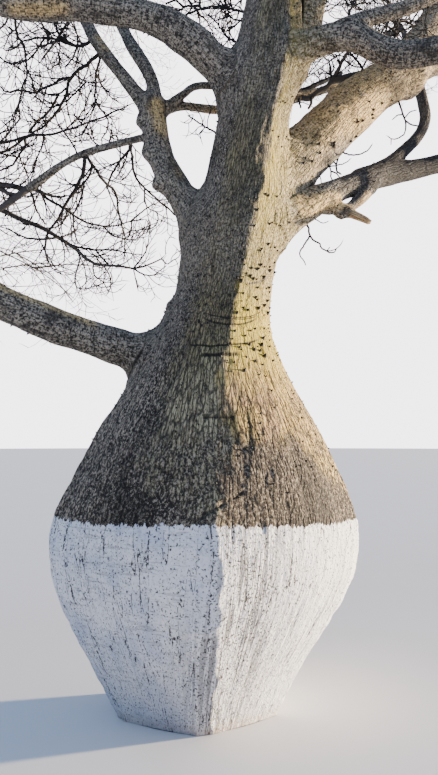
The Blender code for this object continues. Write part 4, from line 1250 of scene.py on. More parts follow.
def sprout(parents, level, rng, lines):
    count, length = parents["radii"].shape
    each = level["count"]
    place = (np.arange(each) + rng.uniform(0.2, 0.8, (count, each))) / each
    share = level["first"] + (1 - level["first"]) * place
    whole = share * (length - 1)
    index = np.minimum(whole.astype(int), length - 2)
    inner = (whole - index)[..., None]
    row = np.arange(count)[:, None]
    startPoint = parents["points"][row, index]
    endPoint = parents["points"][row, index + 1]
    root = startPoint + (endPoint - startPoint) * inner
    along = unit(endPoint - startPoint)
    thick = parents["radii"][row, index] * (1 - inner[..., 0]) + parents["radii"][row, index + 1] * inner[..., 0]
    helper = np.where(np.abs(along[..., 2:]) < 0.9, [0.0, 0.0, 1.0], [1.0, 0.0, 0.0])
    across = unit(np.cross(along, helper))
    other = np.cross(along, across)
    spin = rng.uniform(0, 2 * np.pi, (count, 1)) + np.arange(each) * 2.4 + rng.normal(0, 0.35, (count, each))
    tilt = rng.uniform(*level["spread"], (count, each))
    outward = across * np.cos(spin)[..., None] + other * np.sin(spin)[..., None]
    direction = along * np.cos(tilt)[..., None] + outward * np.sin(tilt)[..., None]
    total = level["length"] * (1.12 - 0.45 * share) * rng.uniform(0.70, 1.20, (count, each))
    crowded = np.zeros((count, each), bool)
    if "fits" in level:
        lengths = np.linalg.norm(np.diff(parents["points"], axis=1), axis=2).sum(axis=1)
        fit = np.minimum(1, lengths / level["fits"])[:, None]
        total = total * (0.3 + 0.7 * fit)
        crowded = rng.random((count, each)) > fit
    hanging = np.isin(parents["mass"], [massNames.index(name) for name in hangingMasses])
    lift = np.where(hanging, finerTwigs["droop"], level["lift"])[:, None, None]
    curl = rng.normal(0, 1, (count, each, 3)) * level["curl"] * 0.5
    line = [root]
    for step in range(level["steps"]):
        line.append(line[-1] + direction * (total / level["steps"])[..., None])
        jitter = rng.normal(0, level["jitter"], (count, each, 3))
        late = (step + 1) / level["steps"]
        turn = curl + jitter + np.array([0, 0, 1.0]) * (lift + (0.10 * late if level["lift"] else 0))
        direction = unit(direction + turn)
    points = np.stack(line, axis=2).reshape(count * each, level["steps"] + 1, 3)
    thick = np.maximum(thick.reshape(-1) * level["radius"], level.get("thinnest", finerTwigs["thinnest"]))
    thick = np.minimum(thick, level.get("thickest", thick.max()))
    fade = 1 - (1 - finerTwigs["tip"]) * np.linspace(0, 1, level["steps"] + 1)
    radii = thick[:, None] * fade[None]
    mass = np.repeat(parents["mass"], each)
    keep = ~crowded.reshape(-1)
    keep &= (mass != bareTwigs) | (rng.random(len(mass)) < photoTwigForm["bareShare"])
    low, high = np.array(cadBox[0]) + 0.01, np.array(cadBox[1]) - 0.01
    keep &= ((points > low) & (points < high)).all(axis=(1, 2))
    keep &= (mass < 0) | ~inClearSky(points)
    for number, name in enumerate(massNames):
        rows = np.flatnonzero(mass == number)
        if not len(rows):
            continue
        _, centre, reach = masses[name]
        far = np.linalg.norm(points[rows] - np.array(centre), axis=2).max(axis=1)
        keep[rows] &= far < reach
        keep[rows] &= rng.random(len(rows)) < finerTwigs["sparse"].get(name, 1.0)
    rows = np.flatnonzero(keep)
    room = roomToWood(points[rows, 1:].reshape(-1, 3), lines).reshape(len(rows), -1).min(axis=1)
    keep[rows] &= room > finerTwigs["clear"]
    return {"points": points[keep], "radii": radii[keep], "mass": mass[keep]}


def joinedTwigs(name, groups, material, replaced):
    parts = [tubeArrays(group["points"], group["radii"], sides) for group, sides in groups if len(group["mass"])]
    vertices, faces = joinArrays(parts)
    piece = meshPiece(name, vertices, faces, [material])
    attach(piece, "root")
    if replaced:
        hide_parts(*replaced)
    print(name, len(faces), "triangles")
    return piece


def chosenTwigs(group, numbers):
    keep = np.isin(group["mass"], numbers)
    return {key: value[keep] for key, value in group.items()}


def makeTwigs(lines, oldBark, youngBark):
    levels = growFirstTwigs()
    print("first twigs:", [len(level["mass"]) for level in levels])
    for number, (bough, _, _) in enumerate(masses.values()):
        if bough in shownRadii:
            swelling = shownRadii[bough][1] / boughs[bough][3]
            levels[0]["radii"][number] *= np.linspace(swelling, 1, stemRule["segments"] + 1)
    smooth = []
    for level, steps in zip(levels, (4, 4, 4)):
        points, radii = smoothLines(level["points"], level["radii"], steps)
        smooth.append({"points": points, "radii": radii, "mass": level["mass"]})
    lost = inClearSky(smooth[1]["points"])
    gaps = smooth[2]["points"][:, :1] - smooth[1]["points"][lost].reshape(1, -1, 3)
    carried = np.linalg.norm(gaps, axis=2).min(axis=1) < finerTwigs["rooted"]
    for group, gone in ((smooth[1], lost), (smooth[2], carried | inClearSky(smooth[2]["points"]))):
        group.update({key: value[~gone] for key, value in group.items()})
    joinedTwigs("twig_limbs", [(smooth[0], 9), (smooth[1], 7), (smooth[2], 5)], oldBark, massNames)
    rng = np.random.default_rng(finerTwigs["seed"])
    third = [sprout(parents, finerLevels[0], rng, lines) for parents in smooth]
    fourth = [sprout(parents, finerLevels[1], rng, lines) for parents in third + smooth[2:]]
    fifth = [sprout(parents, finerLevels[2], rng, lines) for parents in fourth]
    for start in range(0, len(massNames), 4):
        numbers = list(range(start, min(start + 4, len(massNames))))
        groups = [(chosenTwigs(group, numbers), 3) for group in third + fourth + fifth]
        joinedTwigs(f"fine_twigs_{start // 4 + 1}", groups, youngBark, [massNames[n] for n in numbers])


# Twigs placed by the photo: what carries each, its route from the root on in photo pixels, how far back its tip
# lies in metres, and its thickness at the root and at the tip in pixels
photoTwigs = {
    "fork_limb": ("mid_left_outer_bough", ((92, 42), (84, 45), (77, 46), (71, 44), (66, 41), (60, 35),
     (56, 28), (52, 17)), 0.40, 3.8, 2.2),
    "fork_arch": ("fork_limb", ((77, 46), (66, 43), (57, 40), (50, 38), (43, 38), (36, 38), (29, 40), (24, 41),
     (20, 43), (17, 47), (13, 49), (7, 50), (2, 48)), 0.55, 2.8, 1.4),
    "long_hanger": ("upper_left_bough", ((16, 20), (16, 28), (17, 35), (21, 40), (23, 44), (25, 53), (26, 61),
     (27, 70), (27, 76), (24, 82), (22, 90), (21, 96), (19, 103), (18, 109), (15, 115), (9, 122),
     (2, 127)), 0.50, 2.8, 1.5),
    "short_hanger": ("upper_left_bough", ((22, 19), (17, 28), (10, 34), (7, 40), (5, 45),
     (3, 49)), 0.30, 2.0, 1.2),
    "edge_hanger": ("upper_left_bough", ((9, 20), (4, 25), (0, 28), (-9, 34)), 0.10, 2.6, 1.4),
    "steep_hanger": ("upper_left_bough", ((39, 19), (43, 26), (48, 34), (48, 38)), 0.42, 2.2, 1.6),
    "hanger_side": ("steep_hanger", ((48, 34), (56, 32), (60, 29), (65, 28), (72, 28)), 0.45, 2.0, 1.0),
    "arch_bow": ("fork_arch", ((43, 38), (40, 45), (36, 50), (33, 55), (28, 60), (21, 62), (13, 64), (7, 62),
     (1, 58), (-8, 52)), 0.70, 2.2, 1.3),
    "arch_hook": ("fork_arch", ((48, 38), (48, 43), (44, 46), (40, 50)), 0.60, 2.2, 1.4),
    "arch_plumb": ("fork_arch", ((60, 41), (60, 49), (59, 56), (60, 69)), 0.60, 1.9, 1.2),
    "fork_drop": ("fork_limb", ((76, 46), (75, 53), (73, 58), (67, 65), (65, 69)), 0.50, 2.2, 1.4),
    "fork_bit": ("fork_limb", ((79, 46), (78, 55)), 0.45, 1.6, 1.0),
    "fork_rise": ("fork_limb", ((78, 46), (77, 35), (74, 28), (71, 26), (65, 20)), 0.45, 1.8, 1.0),
    "rise_side": ("fork_rise", ((77, 39), (69, 29), (65, 23)), 0.50, 1.4, 0.9),
    "second_limb": ("mid_left_outer_bough", ((98, 55), (88, 64), (81, 68), (74, 74), (70, 79), (68, 84),
     (67, 91), (64, 99), (60, 107), (55, 115), (50, 120), (43, 127), (36, 131), (29, 134)), 0.75, 4.0, 2.2),
    "second_left": ("second_limb", ((70, 79), (60, 79), (55, 84), (49, 86), (42, 89), (35, 93), (26, 91),
     (17, 90), (7, 92), (0, 87), (-8, 82)), 0.95, 3.0, 1.7),
    "second_inner": ("second_limb", ((68, 86), (63, 91), (58, 94), (45, 94), (35, 91), (30, 88),
     (24, 87)), 0.90, 2.4, 1.2),
    "inner_drop": ("second_inner", ((58, 94), (57, 98), (53, 105), (48, 112), (43, 117), (36, 123),
     (28, 133)), 0.85, 2.8, 2.4),
    "second_loop": ("second_limb", ((75, 74), (81, 79), (88, 82), (102, 82), (107, 77)), 0.48, 1.9, 1.3),
    "loop_cross": ("second_loop", ((87, 82), (77, 91), (67, 101), (55, 106), (43, 108)), 0.70, 1.9, 1.1),
    "loop_drop": ("second_loop", ((88, 82), (90, 90), (89, 97)), 0.60, 1.3, 0.9),
    "third_limb": ("mid_left_outer_bough", ((99, 58), (99, 65), (95, 76), (96, 84), (95, 98), (98, 105),
     (103, 112), (107, 117), (108, 120), (107, 131), (101, 139), (103, 143)), 0.60, 2.8, 1.5),
    "third_left": ("third_limb", ((95, 98), (95, 103), (92, 112), (89, 122), (86, 127), (82, 133),
     (72, 139)), 0.70, 1.9, 1.1),
    "third_tip": ("third_limb", ((107, 130), (111, 135)), 0.60, 1.3, 1.0),
    # The limb that hangs down beside the photo's left edge, and what it carries
    "hanging_limb": ("upper_left_bough", ((-137, -59), (-125, 0), (-114, 48), (-95, 110), (-72, 160),
     (-45, 195), (-22, 206)), 0.90, 9.0, 5.6),
    "long_arm": ("hanging_limb", ((-78, 150), (-40, 149), (0, 143), (9, 142), (17, 139), (27, 136), (35, 134),
     (46, 135), (55, 134), (63, 131), (74, 128), (89, 122), (106, 116), (114, 111), (123, 108),
     (132, 104)), 0.45, 4.0, 1.5),
    "lower_arm": ("hanging_limb", ((-74, 156), (-35, 160), (0, 152), (7, 151), (14, 146), (21, 141),
     (27, 136)), 0.75, 3.4, 2.4),
    "clump_upper": ("hanging_limb", ((-62, 175), (-30, 176), (0, 184), (12, 186), (25, 189),
     (33, 184)), 0.62, 7.0, 5.5),
    "clump_lower": ("hanging_limb", ((-52, 186), (-20, 184), (0, 189), (8, 194), (17, 195),
     (26, 190)), 0.62, 6.0, 4.5),
    "clump_right": ("clump_upper", ((26, 189), (39, 191), (49, 195), (60, 197), (68, 195)), 0.70, 4.2, 2.0),
    "arm_drop": ("long_arm", ((27, 136), (25, 145), (20, 153), (15, 162), (10, 166), (0, 170),
     (-6, 171)), 0.95, 2.7, 2.0),
    "arm_rise": ("long_arm", ((63, 131), (74, 122), (81, 114), (86, 105), (88, 97), (92, 88),
     (93, 80)), 0.60, 2.0, 1.0),
    "arm_plumb": ("long_arm", ((43, 135), (42, 146), (39, 153), (34, 164), (32, 171),
     (28, 178)), 0.80, 2.1, 1.4),
    "arm_bit": ("long_arm", ((49, 135), (46, 142), (42, 146)), 0.75, 1.5, 1.0),
    "arm_left": ("long_hanger", ((18, 109), (20, 118), (14, 126), (9, 130), (0, 133),
     (-7, 134)), 0.70, 1.9, 1.4),
    "droop_back": ("drooping_bough", ((79, 155), (72, 143), (63, 131), (58, 123), (55, 116),
     (50, 108)), 0.70, 2.0, 1.1),
    "droop_thin": ("drooping_bough", ((98, 147), (90, 137), (87, 128)), 0.60, 1.5, 1.0),
    "droop_hook": ("drooping_bough", ((108, 145), (111, 137), (115, 135), (117, 137),
     (119, 143)), 0.42, 2.2, 1.8),
    "droop_bold": ("drooping_bough", ((85, 157), (84, 169), (80, 180), (73, 192), (64, 207), (58, 219),
     (51, 228), (47, 236), (45, 248), (47, 258), (50, 266)), 1.00, 4.2, 1.8),
    "droop_right": ("drooping_bough", ((87, 156), (92, 165), (97, 171), (101, 178), (106, 183), (114, 190),
     (117, 196), (118, 202), (119, 214), (122, 226), (125, 239), (124, 264)), 1.00, 3.4, 1.4),
    "right_low": ("droop_right", ((94, 168), (88, 178), (79, 188), (73, 194)), 0.90, 2.6, 1.8),
    "right_long": ("right_low", ((84, 183), (81, 197), (74, 214), (73, 221), (75, 234),
     (78, 245)), 1.00, 2.2, 1.4),
    "droop_near": ("drooping_bough", ((131, 141), (129, 150), (122, 158), (117, 166), (111, 175), (109, 182),
     (106, 190)), 0.80, 3.4, 2.0),
    "droop_far": ("drooping_bough", ((131, 141), (132, 158), (134, 172), (138, 181), (147, 190), (159, 201),
     (169, 209), (177, 217)), 0.60, 2.9, 2.0),
    "far_loop": ("droop_far", ((145, 188), (145, 202), (150, 209), (158, 212), (164, 210)), 0.70, 1.8, 1.0),
    "loop_low": ("far_loop", ((157, 211), (158, 219), (154, 227), (144, 230)), 0.75, 1.7, 1.0),
    "near_thin": ("drooping_bough", ((120, 145), (120, 157), (119, 166), (117, 172)), 0.55, 1.8, 1.2),
    "near_bit": ("drooping_bough", ((131, 142), (135, 149), (141, 155)), 0.35, 1.6, 1.0),
    "clump_drop": ("clump_upper", ((31, 186), (33, 198), (38, 213), (46, 225)), 0.95, 2.9, 1.7),
    "clump_side": ("clump_upper", ((24, 188), (14, 200), (5, 212)), 0.85, 2.2, 1.3),
    "long_arc": ("clump_upper", ((33, 184), (38, 190), (44, 196), (52, 202), (63, 207), (73, 215), (87, 223),
     (103, 226), (115, 226), (128, 222), (139, 220), (148, 219)), 1.00, 3.0, 1.2),
    "arc_rise": ("long_arc", ((131, 222), (143, 211), (155, 203)), 0.95, 2.1, 1.2),
    "arc_low": ("long_arc", ((104, 226), (111, 234), (121, 238), (131, 240), (139, 238),
     (145, 232)), 1.00, 2.1, 1.0),
    "arc_bit": ("long_arc", ((131, 222), (131, 231), (126, 242)), 1.00, 1.7, 1.0),
    "low_arm": ("hanging_limb", ((-22, 206), (0, 209), (12, 215), (24, 221), (36, 225), (48, 231), (61, 239),
     (75, 248), (85, 258), (97, 264), (109, 266), (121, 266), (133, 269), (145, 266), (155, 262), (161, 259),
     (168, 252)), 1.00, 6.2, 1.3),
    "low_tip": ("low_arm", ((133, 269), (145, 275), (154, 275), (161, 270), (167, 265)), 1.00, 1.9, 1.0),
    "low_right": ("low_arm", ((161, 259), (167, 264), (172, 261), (179, 257)), 0.90, 1.6, 1.0),
    "low_mid": ("low_arm", ((74, 248), (87, 249), (103, 250), (115, 250), (127, 253),
     (145, 255)), 1.05, 2.6, 1.0),
    "low_join": ("low_mid", ((97, 250), (102, 258), (109, 265)), 1.00, 2.0, 1.6),
    "low_plumb": ("low_arm", ((79, 252), (80, 259), (78, 265), (75, 282), (80, 289), (92, 287),
     (104, 283)), 1.05, 1.9, 1.2),
    "low_drop": ("low_arm", ((94, 263), (93, 268), (95, 276), (102, 281), (105, 285),
     (109, 293)), 1.05, 1.8, 1.0),
    "low_hair": ("low_arm", ((136, 268), (136, 281), (138, 290)), 1.00, 1.5, 1.0),
    "low_rise": ("low_arm", ((137, 268), (145, 253), (149, 238)), 0.95, 1.9, 1.0),
    "bold_left": ("droop_bold", ((47, 237), (34, 239), (20, 236), (8, 228)), 1.05, 2.6, 1.5),
    "bold_right": ("droop_bold", ((47, 238), (61, 237), (73, 232), (79, 227)), 1.05, 2.6, 1.5),
    # Between the upper left bough and the trunk
    "neck_arc": ("trunk", ((249, 14), (240, 11), (235, 10), (227, 8), (222, 7), (213, 7), (205, 8), (199, 10),
     (196, 11), (190, 13), (185, 14), (184, 19)), 0.30, 2.8, 2.2),
    "arc_up": ("neck_arc", ((196, 11), (192, 5), (189, 0), (185, -10)), 0.40, 2.4, 1.6),
    "arc_down": ("neck_arc", ((196, 11), (200, 15), (205, 19), (208, 23), (210, 27),
     (212, 32)), 0.35, 2.3, 1.4),
    "arc_hair": ("neck_arc", ((197, 11), (198, 15), (200, 21), (200, 25), (203, 27), (208, 31), (211, 33),
     (216, 33)), 0.40, 1.9, 1.3),
    "crotch_twig": ("trunk", ((241, 51), (235, 42), (227, 37), (224, 33), (220, 28), (218, 24), (215, 21),
     (211, 18), (208, 13)), 0.30, 2.8, 1.4),
    "side_twig": ("trunk", ((246, 18), (240, 21), (236, 25), (231, 29), (225, 32)), 0.15, 2.2, 1.4),
    "side_cross": ("side_twig", ((240, 20), (233, 19), (229, 16), (225, 12)), 0.15, 2.0, 1.2),
    "cross_left": ("side_cross", ((229, 16), (224, 18), (220, 19), (215, 21)), 0.20, 1.9, 1.2),
    "top_fork": ("trunk", ((248, -8), (241, 0), (235, 6), (233, 8), (229, 2), (226, -6)), 0.20, 2.0, 1.2),
    "top_drop": ("neck_arc", ((228, 8), (226, 5), (224, 0), (222, -10)), 0.30, 2.4, 1.6),
    "top_left": ("neck_arc", ((200, 10), (200, 5), (200, 0), (199, -10)), 0.40, 2.6, 1.8),
    "left_bar": ("top_left", ((200, 5), (195, 6), (189, 6), (184, 7), (180, 10), (173, 10)), 0.30, 2.8, 1.8),
    "left_bow": ("left_bar", ((184, 7), (179, 3), (176, 0), (170, 2), (165, 4)), 0.30, 2.4, 2.0),
    "cross_hair": ("crotch_twig", ((224, 33), (226, 25), (230, 21)), 0.30, 1.6, 1.0),
    "low_hook": ("crotch_twig", ((229, 39), (226, 43), (224, 45), (219, 47)), 0.20, 1.7, 1.2),
    "neck_thin": ("trunk", ((218, 135), (214, 132), (201, 124), (187, 115)), 0.35, 2.2, 1.4),
    # Between the trunk, the upper right bough and the big right one
    "dark_limb": ("crossing_bough", ((298, 98), (310, 98), (319, 91), (328, 86), (332, 80), (339, 68),
     (342, 62), (347, 54), (353, 44)), 0.45, 6.0, 3.0),
    "dark_left": ("dark_limb", ((331, 81), (331, 76), (330, 66), (328, 58)), 0.60, 3.4, 1.4),
    "dark_bar": ("dark_limb", ((332, 80), (339, 79), (346, 78), (354, 76), (362, 75), (370, 74),
     (380, 73)), 0.60, 8.0, 9.0),
    "dark_hair": ("dark_left", ((331, 74), (334, 68), (331, 59)), 0.60, 1.9, 1.2),
    "dark_tip": ("dark_limb", ((339, 67), (338, 60), (336, 54)), 0.50, 1.7, 1.2),
    "dark_bow": ("dark_limb", ((346, 58), (351, 65), (356, 67), (362, 67)), 0.50, 1.8, 1.4),
    "dark_slope": ("dark_limb", ((348, 53), (359, 63), (362, 68), (361, 74)), 0.55, 2.2, 2.6),
    "upper_bar": ("crossing_upper_branch", ((301, 89), (308, 87), (316, 83), (323, 80),
     (328, 78)), 0.65, 2.6, 2.0),
    "bar_twig": ("upper_bar", ((319, 81), (319, 78), (313, 73)), 0.65, 1.6, 1.1),
    "twig_fork": ("bar_twig", ((318, 78), (323, 72)), 0.65, 1.4, 1.0),
    "bar_left": ("dark_left", ((331, 76), (328, 73), (319, 68)), 0.65, 1.5, 1.0),
    "bar_drop": ("crossing_bough", ((299, 97), (299, 101), (301, 108)), 0.60, 2.3, 1.8),
    "bar_post": ("dark_limb", ((311, 98), (311, 104), (308, 109)), 0.60, 3.4, 2.4),
    # Behind the upper right bough
    "top_right_fork": ("upper_right_bough", ((349, 18), (350, 11), (354, 6), (356, 0),
     (359, -9)), 0.30, 2.6, 1.6),
    "top_right_side": ("top_right_fork", ((353, 6), (349, 0), (345, -6)), 0.35, 1.7, 1.2),
    "top_right_hair": ("upper_right_bough", ((349, 18), (348, 10), (345, -4)), 0.40, 1.4, 1.0),
    "window_post": ("upper_right_branch", ((398, 16), (398, 25), (398, 36)), 0.30, 1.8, 1.4),
    "window_slope": ("upper_right_bough", ((383, 38), (387, 25), (392, 20), (400, 21), (407, 20),
     (410, 17)), 0.40, 2.3, 1.3),
    "window_side": ("window_slope", ((387, 26), (393, 30), (398, 33)), 0.30, 2.0, 1.6),
    "branch_twig": ("upper_right_branch", ((426, 13), (421, 6), (416, -3)), 0.20, 2.6, 1.8),
    "branch_fork": ("upper_right_branch", ((429, 12), (430, 4), (427, -4)), 0.30, 2.6, 1.6),
    # Between the big right bough and the low right one, and under it
    "under_twig": ("big_right_bough", ((309, 174), (317, 170), (328, 167), (334, 166), (342, 164), (347, 162),
     (352, 158)), 0.20, 2.1, 1.0),
    "under_fork": ("big_right_bough", ((322, 157), (328, 165), (331, 171), (331, 177),
     (333, 181)), 0.20, 2.3, 1.4),
    "under_side": ("under_fork", ((331, 171), (336, 173), (340, 178)), 0.20, 1.8, 1.4),
    "under_plumb": ("big_right_bough", ((339, 150), (338, 158), (336, 165), (337, 171),
     (342, 175)), 0.25, 2.3, 1.8),
    "under_tip": ("under_plumb", ((336, 164), (334, 162), (332, 157)), 0.20, 2.0, 1.4),
    "under_bow": ("big_right_bough", ((338, 150), (347, 154), (354, 155), (361, 154), (368, 150),
     (373, 143)), 0.20, 2.1, 1.2),
    "under_hair": ("under_twig", ((317, 171), (321, 180), (321, 186)), 0.20, 1.5, 0.9),
    "low_hoop": ("low_right_bough", ((312, 199), (316, 191), (322, 187), (325, 186)), 0.05, 2.4, 1.6),
    "hanging_twig": ("low_right_bough", ((307, 222), (308, 227), (310, 236), (316, 242), (319, 243),
     (321, 248), (327, 251), (333, 253), (337, 248)), 0.05, 2.4, 1.3),
    "hanging_left": ("hanging_twig", ((310, 235), (304, 245), (300, 252), (300, 256), (304, 261),
     (306, 266)), 0.05, 2.0, 1.2),
    "hanging_tip": ("hanging_twig", ((327, 251), (330, 247)), 0.05, 1.4, 1.0),
    "stub_hair": ("low_right_bough", ((313, 219), (320, 222), (324, 223), (329, 221)), 0.05, 1.4, 0.9),
    "outer_twig": ("big_right_bough", ((401, 104), (404, 117), (406, 125), (404, 134), (397, 139), (391, 139),
     (386, 135)), 0.50, 2.3, 1.1),
    "outer_left": ("outer_twig", ((404, 116), (398, 115), (392, 120)), 0.50, 1.6, 1.0),
    "outer_right": ("outer_twig", ((405, 121), (412, 125), (421, 126)), 0.60, 1.9, 1.4),
    "outer_rise": ("outer_twig", ((404, 118), (410, 112), (417, 110)), 0.60, 1.6, 1.0),
    "outer_tip": ("outer_twig", ((392, 139), (391, 145)), 0.50, 1.3, 0.9),
}
photoSprays = (
    {"count": 12, "length": 0.42, "steps": 6, "first": 0.06, "radius": 0.62, "fits": 0.80, "thinnest": 0.0042,
     "thickest": 0.0062, "spread": (0.50, 1.05), "lift": 0.10, "curl": 0.30, "jitter": 0.020},
    {"count": 4, "length": 0.17, "steps": 4, "first": 0.30, "radius": 0.74, "fits": 0.30, "thinnest": 0.0034,
     "thickest": 0.0046, "spread": (0.50, 1.00), "lift": 0.14, "curl": 0.30, "jitter": 0.020},
)
photoTwigForm = {
    "points": 22, "sides": 6,
    "thick": 0.014,             # a root thicker than this has old bark
    "sunk": 0.35,               # how far its root goes towards the middle of what carries it
    "kinks": 0.002,             # sideways unevenness, in metres
    "seed": 314,
    "bare": ("outer", "under", "hanging_t", "hanging_left", "stub", "low_hoop", "dark", "bar_", "upper_bar"),
    "bareShare": 0.2,           # twigs that start with these words keep this share of their sprays
}
bareTwigs = -2                  # stand in for the number of a mass
freeTwigs = -1


def photoRay(pixel):
    wide, high = photoCamera["frame"]
    focal = photoCamera["lens"] / photoCamera["sensor"] * high
    aim = Euler((math.radians(90 + photoCamera["lookUp"]), 0, math.radians(photoCamera["turn"]))).to_matrix()
    return np.array(aim @ Vector(((pixel[0] - wide / 2) / focal, (high / 2 - pixel[1]) / focal, -1.0)))


def photoPlace(pixel, depth):
    ray = photoRay(pixel)
    eye = np.array(photoCamera["eye"])
    return eye + ray * (depth - eye[1]) / ray[1]


def seenPixels(points):
    wide, high = photoCamera["frame"]
    focal = photoCamera["lens"] / photoCamera["sensor"] * high
    aim = Euler((math.radians(90 + photoCamera["lookUp"]), 0, math.radians(photoCamera["turn"]))).to_matrix()
    across, up, back = ((points - np.array(photoCamera["eye"])) @ np.array(aim)).T
    return np.stack((wide / 2 - focal * across / back, high / 2 + focal * up / back))


def nearestToRay(points, pixel):
    ray = unit(photoRay(pixel))
    offset = points - np.array(photoCamera["eye"])
    return np.linalg.norm(offset - (offset @ ray)[:, None] * ray, axis=1)


# Every photo twig as an even line: its root lies in the wood of what carries it
def photoTwigLines(lines):
    carriers = {name: line["points"] for name, line in zip(boughs, lines)}
    heights = np.linspace(0.5, trunkForm["stations"][-1][0], 90)
    carriers["trunk"] = np.stack((smoothColumn(heights, 1), heights * 0, heights), axis=1)
    count = photoTwigForm["points"]
    shares = np.linspace(0, 1, count)
    rng = np.random.default_rng(photoTwigForm["seed"])
    allPoints, allRadii = [], []
    for name, (carrier, pixels, tipDepth, rootWidth, tipWidth) in photoTwigs.items():
        line = carriers[carrier]
        middle = line[nearestToRay(line, pixels[0]).argmin()]
        root = middle
        if carrier not in photoTwigs:
            onRay = photoPlace(pixels[0], middle[1])
            root = onRay + (middle - onRay) * (photoTwigForm["sunk"] if carrier != "trunk" else 0.0)
        steps = np.concatenate(([0.0], np.cumsum(np.linalg.norm(np.diff(np.array(pixels, float), axis=0), axis=1))))
        depths = middle[1] + (tipDepth - middle[1]) * steps / steps[-1]
        route = [root] + [photoPlace(pixel, depth) for pixel, depth in zip(pixels[1:], depths[1:])]
        fine = np.array(curveThrough(route, 0.02))
        travelled = np.concatenate(([0.0], np.cumsum(np.linalg.norm(np.diff(fine, axis=0), axis=1))))
        points = np.stack([np.interp(shares * travelled[-1], travelled, fine[:, axis]) for axis in range(3)], axis=1)
        points[1:-1] += rng.normal(0, photoTwigForm["kinks"], (count - 2, 3)) * min(1, travelled[-1] / 0.4)
        carriers[name] = points
        perPixel = (points[:, 1] - photoCamera["eye"][1]) * photoCamera["sensor"] / (
            photoCamera["lens"] * photoCamera["frame"][1])
        allPoints.append(points)
        allRadii.append((rootWidth + (tipWidth - rootWidth) * shares) / 2 * perPixel)
    numbers = [bareTwigs if name.startswith(photoTwigForm["bare"]) else freeTwigs for name in photoTwigs]
    return {"points": np.array(allPoints), "radii": np.array(allRadii), "mass": np.array(numbers)}


def makePhotoTwigs(lines, oldBark, youngBark):
    placed = photoTwigLines(lines)
    thick = placed["radii"][:, 0] > photoTwigForm["thick"]
    for name, chosen, bark in (("side_limbs", thick, oldBark), ("branchlets", ~thick, youngBark)):
        group = {key: value[chosen] for key, value in placed.items()}
        joinedTwigs(name, [(group, photoTwigForm["sides"])], bark, None)
    rng = np.random.default_rng(photoTwigForm["seed"])
    groups, parents = [], placed
    for level in photoSprays:
        parents = sprout(parents, level, rng, lines)
        groups.append((parents, 3))
    joinedTwigs("branchlet_sprays", groups, youngBark, None)


# Prickles: dark cones that point outwards and up. The largest ones stand where the photo shows them

prickles = {
    "seed": 77,
    # from height, to height, how many, base radius
    "bands": ((2.00, 2.60, 260, 0.0065), (1.30, 2.00, 200, 0.0055), (2.60, 4.60, 150, 0.0070)),
    "onBoughs": (260, 0.0070),
    "largeRadius": 0.0105,
    "onNeck": ((266, 195), (258, 209), (271, 224), (269, 243), (278, 251), (262, 265), (258, 269), (270, 267),
               (270, 271), (250, 276), (264, 277), (254, 279), (241, 281), (275, 263), (275, 272), (258, 287),
               (270, 288), (242, 261), (238, 278), (256, 296), (258, 300), (268, 301), (265, 305), (244, 307),
               (258, 307), (249, 310), (268, 312), (237, 313), (235, 331), (255, 348), (261, 350), (264, 338),
               (247, 357), (255, 362), (262, 344), (240, 346), (250, 344), (266, 356), (244, 369)),
    "onBigBough": ((374, 109), (373, 115), (373, 118), (358, 121), (363, 121), (321, 153), (307, 158), (304, 163),
                   (334, 143), (334, 146), (320, 144), (356, 137), (351, 142), (313, 161), (383, 103)),
    "tall": 2.0, "sides": 7,
}


# The place on the wood that a pixel of the photo shows
def seenPlace(wood, pixel):
    facing = ((np.array(photoCamera["eye"]) - wood["points"]) * wood["normals"]).sum(axis=1) > 0
    near = np.flatnonzero(facing & (nearestToRay(wood["points"], pixel) < 0.008))
    if not len(near):
        return None
    return near[np.linalg.norm(wood["points"][near] - np.array(photoCamera["eye"]), axis=1).argmin()]


def makePrickles(wood, base, point):
    rng = np.random.default_rng(prickles["seed"])
    onTrunk = wood["owner"] == 0
    height = wood["points"][:, 2]
    choices = []
    for low, high, count, size in prickles["bands"]:
        rows = np.flatnonzero(onTrunk & (height > low) & (height < high))
        choices.append((rng.choice(rows, count, replace=False), size))
    count, size = prickles["onBoughs"]
    rows = np.flatnonzero(~onTrunk & (wood["reach"] > 0.05))
    choices.append((rng.choice(rows, count, replace=False), size))
    seen = [seenPlace(wood, pixel) for pixel in prickles["onNeck"] + prickles["onBigBough"]]
    choices.append((np.array([row for row in seen if row is not None]), prickles["largeRadius"]))
    rows = np.concatenate([rows for rows, _ in choices])
    sizes = np.concatenate([np.full(len(rows), size) for rows, size in choices]) * rng.uniform(0.75, 1.2, len(rows))
    places, outward = wood["points"][rows], wood["normals"][rows]
    heading = unit(outward + np.array([0, 0, 0.35]))
    tall = (sizes * prickles["tall"])[:, None]
    shares = np.array([-0.25, 0.12, 0.5, 1.0])
    lines = places[:, None] + heading[:, None] * tall[:, None] * shares[None, :, None]
    radii = sizes[:, None] * np.array([1.15, 0.90, 0.50, 0.02])[None]
    vertices, faces = tubeArrays(lines, radii, prickles["sides"])
    perOne = len(faces) // len(places)
    sides = prickles["sides"]
    pointed = np.ones(perOne, int)
    pointed[:sides * 2] = 0
    piece = meshPiece("prickles", vertices, faces, [base, point], np.tile(pointed, len(places)))
    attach(piece, "root")
    print("prickles:", len(places))


# Floor, backdrop, light and camera

stageLook = {
    "floorRadius": 90.0, "floorColour": (0.72, 0.71, 0.70),
    "skyLight": (0.47, 0.66, 1.06), "skySeen": (4.6, 4.3, 4.6),      # its light, and how bright it shows
    "sunFrom": (0.974, 0.225, 0.105), "sunColour": (1.0, 0.82, 0.60), "sunStrength": 24.0, "sunSoftness": 3.0,
}


